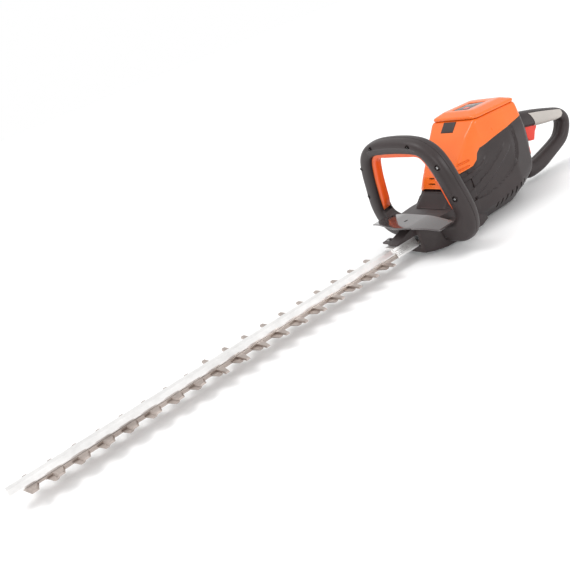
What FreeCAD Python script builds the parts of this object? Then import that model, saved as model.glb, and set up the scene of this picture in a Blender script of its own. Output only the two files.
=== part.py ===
import FreeCAD, Part
import math
import os
import re
import Sketcher
from FreeCAD import Vector

# Cordless hedge trimmer with a dual-action blade, a front loop handle and a swivelling
# rear handle. Millimetres. +X runs towards the blade tip, +Y to the user's left, +Z up.
# The origin is the centre of the flat foot under the body.

doc = FreeCAD.newDocument("HedgeTrimmer")

SIZES = {
    # blades and bar
    "blade_z": 22.0,
    "blade_thick": 2.5,
    "blade_gap": 0.2,
    "tooth_pitch": 34.0,
    "first_tooth_x": 244.0,
    "finger_count": 10,
    "tooth_count": 18,
    "tooth_set": 2.0,
    "spine_half": 12.5,
    "finger_reach": 36.0,
    "tooth_reach": 27.0,
    "blade_offset": 9.0,
    "blade_root_x": 134.0,
    "bar_tip_x": 850.0,
    "bar_root_x": 201.0,
    "bar_half": 9.8,
    "bar_high": 8.0,
    "block_x": 175.0,
    "block_long": 44.0,
    "block_half": 15.0,
    "block_low_z": 19.0,
    "block_high": 16.0,
    "hang_hole_radius": 2.0,
    "hang_hole_deep": 12.0,
    # crank and motor
    "crank_x": 110.0,
    "gear_module": 1.5,
    "gear_teeth": 48,
    "pinion_teeth": 12,
    "gear_z": 33.0,
    "gear_thick": 8.0,
    "shaft_radius": 6.0,
    "throw": 8.5,
    "eccentric_radius": 18.0,
    "rod_thick": 5.0,
    "rod_play": 0.06,
    "rod_upper_z": 26.0,
    "rod_lower_z": 12.8,
    "rod_end_radius": 6.5,
    "motor_radius": 22.0,
    "motor_low_z": 54.0,
    "motor_high": 30.0,
    # gearcase and housing
    "case_low_z": 9.0,
    "case_top_z": 50.0,
    "case_wall": 3.0,
    "housing_low_z": 6.0,
    "housing_top_z": 56.0,
    "cover_thick": 3.0,
    # body
    "shell_wall": 2.6,
    "lid_x": -68.0,
    "lid_long": 96.0,
    "lid_half": 46.5,
    "lid_z": 164.0,
    "lid_fall": 5.0,
    "battery_x": -57.0,
    "battery_long": 76.0,
    "battery_half": 39.0,
    "battery_low_z": 96.0,
    "bay_wall": 2.0,
    # front loop
    "loop_front_x": 165.0,
    "loop_rear_x": 136.0,
    "loop_split_x": 150.5,
    "loop_groove_half": 7.5,
    "loop_lean": 6.5,
    # guard
    "guard_z": 57.0,
    "guard_thick": 3.0,
    "guard_droop": 8.0,
    # rear handle
    "swivel_z": 66.0,
    "swivel_x": -92.0,
    "flange_radius": 28.0,
    "handle_half": 14.0,
    "handle_wall": 3.0,
    "trigger_half": 6.0,
    "screw_radius": 2.0,
    "screw_head_radius": 3.6,
}

sheet = doc.addObject("Spreadsheet::Sheet", "Sizes")
for row, (alias, number) in enumerate(SIZES.items(), start=1):
    sheet.set(f"A{row}", alias)
    sheet.set(f"B{row}", str(number))
    sheet.setAlias(f"B{row}", alias)
doc.recompute()

NODES = []


def size(alias):
    """One driving dimension, read from the sheet."""
    return float(sheet.get(alias))


def cells(expression):
    """Turn 'bar_half * 2' into an expression on the sheet's cells."""
    return re.sub(r"[a-z_][a-z0-9_]*", r"Sizes.\g<0>", str(expression))


def keep(thing, label):
    """Make an object a sub-part of the trimmer, exported under this name."""
    thing.Label = label
    NODES.append(thing)
    return thing


def place(thing, at):
    """Bind an object's position to the sheet."""
    for axis, expression in zip("xyz", at):
        thing.setExpression(f"Placement.Base.{axis}", cells(expression))


def primitive(kind, name, at, turn=None, **sizes):
    """A Part primitive with its sizes and place bound to the sheet."""
    thing = doc.addObject(f"Part::{kind}", name)
    for prop, expression in sizes.items():
        thing.setExpression(prop, cells(expression))
    if turn is not None:
        thing.Placement = FreeCAD.Placement(Vector(), FreeCAD.Rotation(*turn))
    place(thing, at)
    return thing


def box(name, at, length, width, height):
    return primitive("Box", name, at, Length=length, Width=width, Height=height)


def rod(name, at, radius, length, turn=None):
    return primitive("Cylinder", name, at, turn, Radius=radius, Height=length)


def cut(name, base, tool):
    thing = doc.addObject("Part::Cut", name)
    thing.Base = base
    thing.Tool = tool
    return thing


def fuse(name, things):
    thing = doc.addObject("Part::MultiFuse", name)
    thing.Shapes = things
    return thing


def group(name, things):
    """Separate solids of one kind, such as a set of screws."""
    thing = doc.addObject("Part::Compound", name)
    thing.Links = things
    return thing


def fixed_shape(label, shape):
    """A sub-part whose form needs Part's own functions."""
    thing = doc.addObject("Part::Feature", label)
    thing.Shape = shape
    return keep(thing, label)


ALONG_X = (Vector(0, 1, 0), 90)
ALONG_Y = (Vector(1, 0, 0), -90)


def origin_plane(body, role):
    return [item for item in body.Origin.OriginFeatures if item.Role == role][0]


def sketch_on(body, role):
    sketch = body.newObject("Sketcher::SketchObject", body.Name + "Sketch")
    sketch.AttachmentSupport = (origin_plane(body, role), [""])
    sketch.MapMode = "FlatFace"
    return sketch


def draw_outline(sketch, points):
    for start, end in zip(points, points[1:] + points[:1]):
        sketch.addGeometry(Part.LineSegment(Vector(*start, 0), Vector(*end, 0)))


def draw_circle(sketch, centre, radius, name):
    circle = Part.Circle(Vector(*centre, 0), Vector(0, 0, 1), 1.0)
    index = sketch.addGeometry(circle)
    number = sketch.addConstraint(Sketcher.Constraint("Radius", index, 1.0))
    sketch.renameConstraint(number, name)
    sketch.setExpression(f"Constraints.{name}", cells(radius))


def padded(label, role, outline, depth, at=(0, 0, 0), holes=(), discs=()):
    """A flat piece: an outline or discs, less its holes, padded from an origin plane."""
    body = doc.addObject("PartDesign::Body", label)
    sketch = sketch_on(body, role)
    if outline:
        draw_outline(sketch, outline)
    for number, (centre, radius) in enumerate(list(discs) + list(holes)):
        draw_circle(sketch, centre, radius, f"circle{number}")
    pad = body.newObject("PartDesign::Pad", label + "Pad")
    pad.Profile = sketch
    pad.setExpression("Length", cells(depth))
    place(body, at)
    return keep(body, label)


def mirrored(points):
    """Complete an outline drawn for the left side, from front to back."""
    return points + [(x, -y) for x, y in reversed(points) if abs(y) > 1e-6]


def prism(points, low, high):
    """A flat XY outline raised from one height to another."""
    wire = Part.makePolygon([Vector(x, y, low) for x, y in points + points[:1]])
    return Part.Face(wire).extrude(Vector(0, 0, high - low))


# ---------------------------------------------------------------- blades and bar


def tooth(x, side, reach, base_half, tip_half, low, high, bevel, up):
    """One tooth of a blade: a trapezoid whose two flanks are ground to a slope."""
    root = size("spine_half") - 2.0
    layers = [(low, 0.0), (high, bevel)] if up else [(low, bevel), (high, 0.0)]
    wires = []
    for z, inset in layers:
        outline = [
            (x - base_half + inset * 0.6, side * root),
            (x - tip_half + inset, side * (reach - inset * 0.5)),
            (x + tip_half - inset, side * (reach - inset * 0.5)),
            (x + base_half - inset * 0.6, side * root),
        ]
        wires.append(Part.makePolygon([Vector(a, b, z) for a, b in outline + outline[:1]]))
    return Part.makeLoft(wires, True, True)


def blade(low, shift, count, fingers, up):
    """A toothed blade: long blunt fingers near the handle, short teeth further out."""
    pitch = size("tooth_pitch")
    high = low + size("blade_thick")
    first = size("first_tooth_x") + shift
    half = size("spine_half")
    end = first + pitch * (count - 1) + 10.0
    root = size("blade_root_x") + (0.0 if up else shift)
    side = [(end, 8.0), (end - 6.0, half), (212.0, half), (205.0, 9.0), (root, 9.0)]
    shape = prism(mirrored(side), low, high)
    teeth = []
    for number in range(count):
        x = first + pitch * number
        for hand in (1, -1):
            if number < fingers:
                teeth.append(tooth(x, hand, size("finger_reach"), 5.6, 3.2, low, high, 0.9, up))
            else:
                teeth.append(tooth(x, hand, size("tooth_reach"), 9.0, 4.5, low, high, 2.2, up))
    shape = shape.multiFuse(teeth)
    middle = -half_offset if up else half_offset
    for x in BOLT_PLACES:
        slot = mirrored([(x + middle + 12.5, 3.2), (x + middle - 12.5, 3.2)])
        shape = shape.cut(prism(slot, low, high))
    return shape


BOLT_PLACES = [261.0 + 102.0 * number for number in range(6)]
half_offset = size("blade_offset") / 2
blade_thick = size("blade_thick")
upper_low = size("blade_z") + size("blade_gap") / 2
lower_low = size("blade_z") - size("blade_gap") / 2 - blade_thick
bar_low = upper_low + blade_thick + 0.2
pin_x = size("blade_root_x") + 9.0

tooth_count = int(size("tooth_count"))
upper_plate = blade(upper_low, size("tooth_set"), tooth_count, int(size("finger_count")), True)
upper_pin = Part.makeCylinder(4.0, 0.8, Vector(pin_x, 0, upper_low + blade_thick))
fixed_shape("upper_blade", upper_plate.fuse(upper_pin))

lower_plate = blade(lower_low, size("blade_offset"), tooth_count - 1, 0, False)
lower_pin = Part.makeCylinder(4.0, 0.8, Vector(pin_x + size("blade_offset"), 0, lower_low - 0.8))
fixed_shape("lower_blade", lower_plate.fuse(lower_pin))

# The bar is an aluminium extrusion: vertical lips, sloped sides and a flat top.
bar_half = size("bar_half")
bar_section = [
    (-bar_half, 0.0), (bar_half, 0.0), (bar_half, 2.5), (5.4, size("bar_high")),
    (-5.4, size("bar_high")), (-bar_half, 2.5),
]
bar = padded("blade_bar", "YZ_Plane", bar_section, "bar_tip_x - bar_root_x",
             at=("bar_root_x", 0, "blade_z + blade_gap / 2 + blade_thick + 0.2"))
bolt_sketch = sketch_on(bar, "XY_Plane")
for number, x in enumerate(BOLT_PLACES):
    draw_circle(bolt_sketch, (x - size("bar_root_x"), 0), "screw_radius", f"bolt{number}")
bolt_pocket = bar.newObject("PartDesign::Pocket", "BoltHoles")
bolt_pocket.Profile = bolt_sketch
bolt_pocket.Reversed = True
bolt_pocket.setExpression("Length", cells("bar_high - 2"))
hang_sketch = sketch_on(bar, "YZ_Plane")
hang_sketch.AttachmentOffset = FreeCAD.Placement(
    Vector(0, 0, size("bar_tip_x") - size("bar_root_x")), FreeCAD.Rotation())
draw_circle(hang_sketch, (0, 3.6), "hang_hole_radius", "hang_hole")
hang_pocket = bar.newObject("PartDesign::Pocket", "HangHole")
hang_pocket.Profile = hang_sketch
hang_pocket.setExpression("Length", cells("hang_hole_deep"))

bolts = []
bushes = []
bush_low = lower_low - 0.4
for x in BOLT_PLACES:
    shank = Part.makeCylinder(size("screw_radius"), bar_low + 5.0 - bush_low, Vector(x, 0, bush_low))
    head = Part.makeCylinder(5.0, 2.6, Vector(x, 0, bush_low - 2.6))
    bolts.append(shank.fuse(head))
    sleeve = Part.makeCylinder(2.9, bar_low - bush_low, Vector(x, 0, bush_low))
    bore = Part.makeCylinder(size("screw_radius"), bar_low - bush_low, Vector(x, 0, bush_low))
    bushes.append(sleeve.cut(bore))
fixed_shape("blade_bolts", Part.makeCompound(bolts))
fixed_shape("blade_bushes", Part.makeCompound(bushes))

# The block clamps the bar to the gearcase: an extrusion with sloping, grooved sides that
# is hollow underneath for the bar and the blades.
block_half = size("block_half")
block_high = size("block_high")
block_top_half = 9.6
bar_rise = bar_low - size("block_low_z")
block_side = [(5.6, bar_rise + size("bar_high") + 0.1), (10.0, bar_rise + 2.6), (10.0, bar_rise),
              (13.0, bar_rise), (13.0, 0.0), (block_half, 0.0), (block_half, 2.0)]
slope = (block_half - block_top_half) / (block_high - 2.0)
for z in (4.0, 6.5, 9.0, 11.5):
    for rise, depth in ((-0.6, 0.0), (0.0, 0.7), (0.6, 0.0)):
        block_side.append((block_half - slope * (z + rise - 2.0) - depth, z + rise))
block_side.append((block_top_half, block_high))
padded("blade_block", "YZ_Plane", block_side + [(-y, z) for y, z in reversed(block_side)],
       "block_long", at=("block_x", 0, "block_low_z"))


# ---------------------------------------------------------------- crank and rods


def gear_outline(teeth, module, phase, backlash=0.06):
    """An involute gear as points: four up each flank and four down."""
    pressure = math.radians(20.0)
    pitch_radius = teeth * module / 2
    base = pitch_radius * math.cos(pressure)
    radii = [pitch_radius - 1.2 * module, max(base, pitch_radius - 0.7 * module),
             pitch_radius, pitch_radius + 0.5 * module, pitch_radius + 0.95 * module]
    flank_zero = math.tan(pressure) - pressure
    points = []
    for number in range(teeth):
        centre = phase + 2 * math.pi * number / teeth
        flank = []
        for radius in radii:
            turn = math.acos(min(1.0, base / max(radius, base)))
            half = math.pi / (2 * teeth) + flank_zero - (math.tan(turn) - turn) - backlash / pitch_radius
            flank.append((radius, half))
        for radius, half in flank:
            points.append((radius * math.cos(centre - half), radius * math.sin(centre - half)))
        for radius, half in reversed(flank):
            points.append((radius * math.cos(centre + half), radius * math.sin(centre + half)))
    return points


gear_teeth = int(size("gear_teeth"))
pinion_teeth = int(size("pinion_teeth"))
gear_module = size("gear_module")
crank_x = size("crank_x")
throw = size("throw")
motor_x = crank_x - gear_module * (gear_teeth + pinion_teeth) / 2
MOTOR_AT = "crank_x - gear_module * (gear_teeth + pinion_teeth) / 2"
rest_x = -half_offset
rest_y = math.sqrt(throw ** 2 - half_offset ** 2)
half_tooth = math.pi / gear_teeth

padded("crank_gear", "XY_Plane", gear_outline(gear_teeth, gear_module, half_tooth), "gear_thick",
       at=("crank_x", 0, "gear_z"), holes=[((0, 0), "shaft_radius + 2")])
padded("motor_pinion", "XY_Plane", gear_outline(pinion_teeth, gear_module, 0.0), "gear_thick",
       at=(MOTOR_AT, 0, "gear_z"),
       holes=[((0, 0), "2.5")])

padded("eccentric_upper", "XY_Plane", None, "rod_thick + 0.8",
       at=("crank_x", 0, "rod_upper_z - 0.4"),
       discs=[((rest_x, rest_y), "eccentric_radius")], holes=[((0, 0), "shaft_radius + 2")])
padded("eccentric_lower", "XY_Plane", None, "rod_thick + 0.6",
       at=("crank_x", 0, "rod_lower_z - 0.3"),
       discs=[((-rest_x, -rest_y), "eccentric_radius")], holes=[((0, 0), "shaft_radius + 2")])
keep(cut("CrankSleeveCut",
         rod("CrankSleeveOuter", ("crank_x", 0, "rod_lower_z - 0.3"), "shaft_radius + 2",
             "gear_z + gear_thick - rod_lower_z + 0.3"),
         rod("CrankSleeveBore", ("crank_x", 0, "rod_lower_z - 0.3"), "shaft_radius + 0.05",
             "gear_z + gear_thick - rod_lower_z + 0.3")), "crank_sleeve")
keep(rod("CrankAxle", ("crank_x", 0, "case_low_z"), "shaft_radius", "case_top_z - case_low_z - 0.5"),
     "crank_axle")


def connecting_rod(label, low, centre, pin):
    """A plate with a big end round its eccentric and a small end over the blade's pin."""
    thick = size("rod_thick")
    bore = size("eccentric_radius") + size("rod_play")
    big = Part.makeCylinder(bore + 3.4, thick, Vector(*centre, low))
    small = Part.makeCylinder(size("rod_end_radius"), thick, Vector(*pin, low))
    along = Vector(pin[0] - centre[0], pin[1] - centre[1], 0)
    across = Vector(-along.y, along.x, 0).normalize() * 6.0
    corners = [Vector(*centre, low) + across, Vector(*pin, low) + across,
               Vector(*pin, low) - across, Vector(*centre, low) - across]
    web = Part.Face(Part.makePolygon(corners + corners[:1])).extrude(Vector(0, 0, thick))
    shape = big.multiFuse([small, web])
    shape = shape.cut(Part.makeCylinder(bore, thick, Vector(*centre, low)))
    shape = shape.cut(Part.makeCylinder(4.3, thick, Vector(*pin, low)))
    fixed_shape(label, shape)


connecting_rod("rod_upper", size("rod_upper_z"), (crank_x + rest_x, rest_y), (pin_x, 0.0))
connecting_rod("rod_lower", size("rod_lower_z"), (crank_x - rest_x, -rest_y),
               (pin_x + size("blade_offset"), 0.0))

# ---------------------------------------------------------------- motor

keep(rod("MotorShaft", (MOTOR_AT, 0, "gear_z - 2"), "2.5", "motor_low_z + motor_high + 8 - gear_z"),
     "motor_shaft")
keep(cut("MotorCanCut",
         rod("MotorCanOuter", (MOTOR_AT, 0, "motor_low_z"), "motor_radius", "motor_high"),
         rod("MotorCanInner", (MOTOR_AT, 0, "motor_low_z"), "motor_radius - 1.5", "motor_high")),
     "motor_can")
padded("motor_stator", "XY_Plane", None, "motor_high - 8", at=(MOTOR_AT, 0, "motor_low_z + 4"),
       discs=[((0, 0), "motor_radius - 1.5")], holes=[((0, 0), "12.6")])
padded("motor_rotor", "XY_Plane", None, "motor_high - 8", at=(MOTOR_AT, 0, "motor_low_z + 4"),
       discs=[((0, 0), "12")], holes=[((0, 0), "2.5")])
padded("motor_plate", "XY_Plane", None, "3", at=(MOTOR_AT, 0, "motor_low_z - 3"),
       discs=[((0, 0), "motor_radius + 1")],
       holes=[((0, 0), "6")] + [((16 * math.cos(turn), 16 * math.sin(turn)), "1.6")
                                for turn in (0.8, 2.34, 3.94, 5.48)])
bearings = []
for number, z in enumerate(("motor_low_z - 3", "motor_low_z + motor_high - 3.8")):
    bearings.append(cut(f"MotorBearing{number}",
                        rod(f"MotorBearingRing{number}", (MOTOR_AT, 0, z), "6", "3"),
                        rod(f"MotorBearingBore{number}", (MOTOR_AT, 0, z), "2.55", "3")))
keep(group("MotorBearings", bearings), "motor_bearings")

def fan_shape():
    """A small radial fan: a hub, a thin disc and nine blades."""
    low = size("motor_low_z") + size("motor_high") + 1.0
    at = Vector(motor_x, 0, low)
    parts = [Part.makeCylinder(15.0, 1.0, at)]
    for number in range(9):
        vane = Part.makeBox(9.5, 1.0, 5.0, Vector(5.0, -0.5, 0.0))
        vane.rotate(Vector(), Vector(0, 0, 1), 40.0 * number)
        vane.translate(at)
        parts.append(vane)
    shape = Part.makeCylinder(5.5, 6.0, at).multiFuse(parts)
    return shape.cut(Part.makeCylinder(2.5, 6.0, at))


fixed_shape("cooling_fan", fan_shape())

# ---------------------------------------------------------------- gearcase and housing

CASE_SIDE = [(168.0, 21.0), (160.0, 31.0), (144.0, 41.0), (120.0, 44.5), (70.0, 44.5), (50.0, 36.0)]


def grown(points, step):
    """The outline moved outwards by a step, or inwards where the step is negative."""
    wire = Part.makePolygon([Vector(x, y, 0) for x, y in points + points[:1]])
    moved = Part.Face(wire).makeOffset2D(step, join=2)
    return [(vertex.X, vertex.Y) for vertex in moved.OuterWire.OrderedVertexes]


case_outline = mirrored(CASE_SIDE)
case_low = size("case_low_z")
case_top = size("case_top_z")
cavity = prism(grown(case_outline, -size("case_wall")), case_low, case_top - 6.0)
gearcase = prism(case_outline, case_low, case_top).cut(cavity)
blade_slot = Part.makeBox(20.0, 19.0, 8.0, Vector(155.0, -9.5, 18.0))
gearcase = gearcase.cut(blade_slot)
gearcase = gearcase.cut(Part.makeCylinder(size("shaft_radius"), 20.0, Vector(crank_x, 0, 40.0)))
gearcase = gearcase.cut(Part.makeCylinder(12.0, 20.0, Vector(motor_x, 0, 40.0)))
fixed_shape("gearcase", gearcase)
padded("gearcase_cover", "XY_Plane", case_outline, "cover_thick",
       at=(0, 0, "case_low_z - cover_thick"))

# The cover is held by six countersunk screws.
COVER_SCREWS = [(148.0, 30.0), (110.0, 39.0), (66.0, 36.0)]
cover_screws = []
for x, y in COVER_SCREWS:
    for hand in (1, -1):
        cover_screws.append(Part.makeCylinder(3.4, 1.6, Vector(x, hand * y, case_low - 4.6)))
fixed_shape("cover_screws", Part.makeCompound(cover_screws))

housing_low = size("housing_low_z")
housing_top = size("housing_top_z")
housing = prism(grown(case_outline, 4.0), housing_low, housing_top)
housing = housing.cut(prism(grown(case_outline, 0.2), housing_low, case_top + 0.2))
housing = housing.cut(Part.makeBox(20.0, 30.4, 19.2, Vector(158.0, -15.2, 16.0)))
nose_wire = [(166.0, 35.2), (212.0, 35.2), (211.0, 38.0), (192.0, 44.0), (166.0, 52.0)]
nose_side = Part.Face(Part.makePolygon([Vector(x, -11.0, z) for x, z in nose_wire + nose_wire[:1]]))
nose = nose_side.extrude(Vector(0, 22.0, 0)).cut(prism(grown(case_outline, 0.2), housing_low, case_top + 0.2))
lug = Part.makeBox(16.0, 16.0, 3.0, Vector(193.0, -26.0, 35.2))
housing = housing.multiFuse([nose, lug])
housing = housing.cut(Part.makeCylinder(size("motor_radius") + 2.0, 20.0, Vector(motor_x, 0, 45.0)))
fixed_shape("gear_housing", housing)
keep(rod("NoseScrew", (201, -19, 38.2), "3.6", "2.4"), "nose_screw")

# ---------------------------------------------------------------- body, hood and cowl

# Each row is a place along X, then the low edge's height and half width, the widest half
# width with the heights where it starts and ends, and the top's half width and height.
BODY_SECTIONS = [
    (130.0, 8.0, 20.0, 50.0, 26.0, 40.0, 32.0, 50.0),
    (99.0, 8.0, 22.0, 52.0, 28.0, 56.0, 30.0, 76.0),
    (92.0, 6.0, 23.0, 52.5, 28.0, 60.0, 32.0, 93.0),
    (50.0, 2.0, 24.0, 56.0, 30.0, 98.0, 40.0, 143.0),
    (28.0, 0.0, 24.0, 58.0, 32.0, 106.0, 46.0, 164.4),
    (-25.0, 0.0, 24.0, 60.0, 34.0, 116.0, 47.0, 161.6),
    (-65.0, 12.0, 22.0, 54.0, 48.0, 120.0, 46.0, 159.6),
    (-75.0, 22.0, 18.0, 44.0, 66.0, 117.0, 36.0, 142.0),
    (-89.0, 36.0, 15.0, 33.0, 72.0, 108.0, 24.0, 128.0),
]
# The seam between the orange hood and the dark shells, from front to back.
SEAM = [(135.0, 74.0), (99.0, 76.0), (85.0, 88.0), (62.0, 97.0), (50.0, 105.0), (40.0, 122.0),
        (24.0, 126.0), (-60.0, 138.0), (-104.0, 144.0)]
COWL_REAR_X = 70.0
SHELL_FRONT_X = 112.0


def body_wire(section, wall=0.0):
    x, low, low_half, wide, wide_low, wide_high, top_half, top = section
    side = [(low_half, low + wall), (wide - wall, wide_low), (wide - wall, wide_high),
            (top_half - wall, top - wall)]
    points = [Vector(x, y, z) for y, z in side + [(-y, z) for y, z in reversed(side)]]
    return Part.makePolygon(points + points[:1])


def body_skin():
    """The whole body as a thin wall: an outer loft less an inner one."""
    wall = size("shell_wall")
    outer = Part.makeLoft([body_wire(section) for section in BODY_SECTIONS], True, True)
    inner_rows = list(BODY_SECTIONS[:-1])
    last = list(BODY_SECTIONS[-1])
    last[0] += wall
    inner_rows[-1] = (last[0] + 2.0,) + BODY_SECTIONS[-2][1:]
    inner_rows.append(tuple(last))
    first = list(inner_rows[0])
    first[0] += 1.0
    inner_rows[0] = tuple(first)
    inner = Part.makeLoft([body_wire(section, wall) for section in inner_rows], True, True)
    return outer.cut(inner)


def side_slab(points, low_y, high_y):
    """A side-view outline carried across the body from one Y to another."""
    wire = Part.makePolygon([Vector(x, low_y, z) for x, z in points + points[:1]])
    return Part.Face(wire).extrude(Vector(0, high_y - low_y, 0))


def seam_height(x):
    for (x1, z1), (x2, z2) in zip(SEAM, SEAM[1:]):
        if x2 <= x <= x1:
            return z1 + (z2 - z1) * (x1 - x) / (x1 - x2)
    raise ValueError("x is off the seam")


skin = body_skin()
housing_room = prism(grown(case_outline, 4.3), -20.0, housing_top + 0.3)
split_z = housing_top + 0.3
rear_seam = [(x, z) for x, z in SEAM if x < COWL_REAR_X]
shell_outline = ([(COWL_REAR_X, split_z), (COWL_REAR_X, seam_height(COWL_REAR_X))] + rear_seam
                 + [(-104.0, -5.0), (SHELL_FRONT_X, -5.0), (SHELL_FRONT_X, split_z)])
cowl_outline = [(COWL_REAR_X, split_z), (135.0, split_z)] + [(x, z) for x, z in SEAM if x > COWL_REAR_X]
cowl_outline.append((COWL_REAR_X, seam_height(COWL_REAR_X)))
hood_outline = SEAM + [(-104.0, 200.0), (135.0, 200.0)]

swivel_z = size("swivel_z")
rear_hole = Part.makeCylinder(5.0, 20.0, Vector(size("swivel_x") - 6.0, 0, swivel_z), Vector(1, 0, 0))


def side_vents():
    """Seven slanted slots along the lower edge of one shell."""
    slots = []
    for number in range(7):
        x = 20.0 - 9.0 * number
        z = 20.0 + 2.0 * number
        slots.append(side_slab([(x, z), (x - 3.6, z), (x - 6.6, z + 13.0), (x - 3.0, z + 13.0)], -70.0, 70.0))
    return slots


for label, low_y, high_y in (("body_shell_left", 0.0, 70.0), ("body_shell_right", -70.0, 0.0)):
    half = skin.common(side_slab(shell_outline, low_y, high_y)).cut(rear_hole).cut(housing_room)
    half = max(half.Solids, key=lambda solid: solid.Volume)
    for slot in side_vents():
        half = half.cut(slot)
    fixed_shape(label, half)
fixed_shape("front_cowl", skin.common(side_slab(cowl_outline, -70.0, 70.0)))

bay_x = size("battery_x") - 1.0 - size("bay_wall")
bay_long = size("battery_long") + 2.0 * (1.0 + size("bay_wall"))
bay_half = size("battery_half") + 1.0 + size("bay_wall")
hood = skin.common(side_slab(hood_outline, -70.0, 70.0))
hood = hood.cut(Part.makeBox(bay_long + 0.4, 2 * bay_half + 0.4, 100.0,
                             Vector(bay_x - 0.2, -bay_half - 0.2, 130.0)))

# The release button lies in the hood's sloping face.
BUTTON_AT = Vector(35.6, -4.0, 157.0)
button_turn = FreeCAD.Rotation(Vector(0, 1, 0), 45.8)


def button_block(long, wide, low, high):
    block = Part.makeBox(long, wide, high - low, Vector(-long / 2, -wide / 2, low))
    block.Placement = FreeCAD.Placement(BUTTON_AT, button_turn)
    return block


hood = hood.cut(button_block(18.6, 26.6, -8.0, 8.0))
for z, half in ((90.0, 11.0), (96.5, 11.0)):
    hood = hood.cut(Part.makeBox(30.0, half, 2.2, Vector(75.0, 10.0, z)))
    hood = hood.cut(Part.makeBox(30.0, half, 2.2, Vector(75.0, -10.0 - half, z)))
fixed_shape("hood", hood)
fixed_shape("battery_button", button_block(18.0, 26.0, -3.2, 0.8))
spring = Part.makeCylinder(3.0, 6.0, Vector(0, 0, -9.4)).cut(Part.makeCylinder(2.2, 6.0, Vector(0, 0, -9.4)))
spring.Placement = FreeCAD.Placement(BUTTON_AT, button_turn)
fixed_shape("button_spring", spring)

keep(cut("BayCut",
         box("BayOuter", ("battery_x - 1 - bay_wall", "-battery_half - 1 - bay_wall",
                          "battery_low_z - 0.4 - bay_wall"),
             "battery_long + 2 + 2 * bay_wall", "2 * battery_half + 2 + 2 * bay_wall", "60"),
         box("BayInner", ("battery_x - 1", "-battery_half - 1", "battery_low_z - 0.4"),
             "battery_long + 2", "2 * battery_half + 2", "60")), "battery_bay")
keep(box("Terminals", ("battery_x + 20", "-14", "battery_low_z - 0.4 - bay_wall - 8"), "12", "28", "8"),
     "battery_terminals")
keep(cut("EjectCut",
         rod("EjectOuter", ("battery_x + 55", 0, "battery_low_z - 0.4 - bay_wall - 14"), "6", "14"),
         rod("EjectInner", ("battery_x + 55", 0, "battery_low_z - 0.4 - bay_wall - 14"), "4.6", "14")),
     "eject_spring")

# ---------------------------------------------------------------- battery

keep(cut("CaseCut",
         box("CaseOuter", ("battery_x", "-battery_half", "battery_low_z"),
             "battery_long", "2 * battery_half", "lid_z - lid_fall - battery_low_z"),
         box("CaseInner", ("battery_x + 1.6", "1.6 - battery_half", "battery_low_z + 1.6"),
             "battery_long - 3.2", "2 * battery_half - 3.2", "lid_z - lid_fall - battery_low_z")),
     "battery_case")
cells_list = []
for layer, places in enumerate(((-27.6, -9.2, 9.2, 27.6), (-27.6, -9.2, 9.2, 27.6), (-9.2, 9.2))):
    for y in places:
        at = Vector(-54.0, y, 107.6 + 18.4 * layer)
        cells_list.append(Part.makeCylinder(9.0, 65.0, at, Vector(1, 0, 0)))
fixed_shape("battery_cells", Part.makeCompound(cells_list))


def lid_outline(step, z):
    """The lid's plan outline with cut corners, moved inwards by a step."""
    front = size("lid_x") + size("lid_long") - step
    rear = size("lid_x") + step
    half = size("lid_half") - step
    corner = 6.0
    side = [(front, half - corner), (front - corner, half), (rear + corner, half), (rear, half - corner)]
    fall = size("lid_fall") / size("lid_long")
    points = [Vector(x, y, z - fall * (front + step - x)) for x, y in mirrored(side)]
    return Part.makePolygon(points + points[:1])


lid_low = size("lid_z") + 0.7
LID_STEPS = [(1.0, 0.0), (0.0, 2.0), (0.0, 4.5), (4.0, 7.0), (14.0, 11.0)]
lid = Part.makeLoft([lid_outline(step, lid_low + rise) for step, rise in LID_STEPS], True, True)
lid_turn = FreeCAD.Rotation(Vector(0, 1, 0), -math.degrees(size("lid_fall") / size("lid_long")))
panel_at = Vector(-14.0, 0.0, lid_low + 11.0 - 42.0 * size("lid_fall") / size("lid_long"))


def panel_block(long, wide, low, high):
    block = Part.makeBox(long, wide, high - low, Vector(-long / 2, -wide / 2, low))
    block.Placement = FreeCAD.Placement(panel_at, lid_turn)
    return block


skirt_low = size("lid_z") - size("lid_fall") + 0.05
skirt = Part.makeBox(size("battery_long"), 2 * size("battery_half"), 6.0,
                     Vector(size("battery_x"), -size("battery_half"), skirt_low))
fixed_shape("battery_lid", lid.fuse(skirt).cut(panel_block(42.0, 34.0, -1.2, 5.0)))
fixed_shape("battery_panel", panel_block(41.6, 33.6, -1.1, -0.2))

# ---------------------------------------------------------------- electronics

keep(box("Board", (-70, -26, 34), "86", "52", "1.6"), "controller_board")
caps = [rod(f"Capacitor{number}", (-12 + 13 * number, 12, 35.6), "5.5", "20") for number in range(2)]
keep(group("Capacitors", caps), "capacitors")

# ---------------------------------------------------------------- front loop

LOOP_OUTER = [(0.0, 10.0), (64.0, 10.0), (86.0, 14.0), (102.0, 28.0), (109.0, 48.0), (110.0, 68.0),
              (104.0, 100.0), (97.0, 130.0), (86.0, 157.0), (68.0, 175.0), (44.0, 184.0), (0.0, 186.0)]
LOOP_INNER = [(0.0, 50.0), (81.0, 50.0), (79.0, 75.0), (74.0, 105.0), (68.0, 130.0), (60.0, 151.0),
              (48.0, 160.0), (0.0, 162.0)]


def front_face(side, x):
    """A closed face in the front view from its left half, at one X."""
    points = side + [(-y, z) for y, z in reversed(side) if y > 0]
    return Part.Face(Part.makePolygon([Vector(x, y, z) for y, z in points + points[:1]]))


def swell(face, step):
    return face.makeOffset2D(step, join=2)


def thicken(face, depth):
    return face.extrude(Vector(depth, 0, 0))


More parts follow.
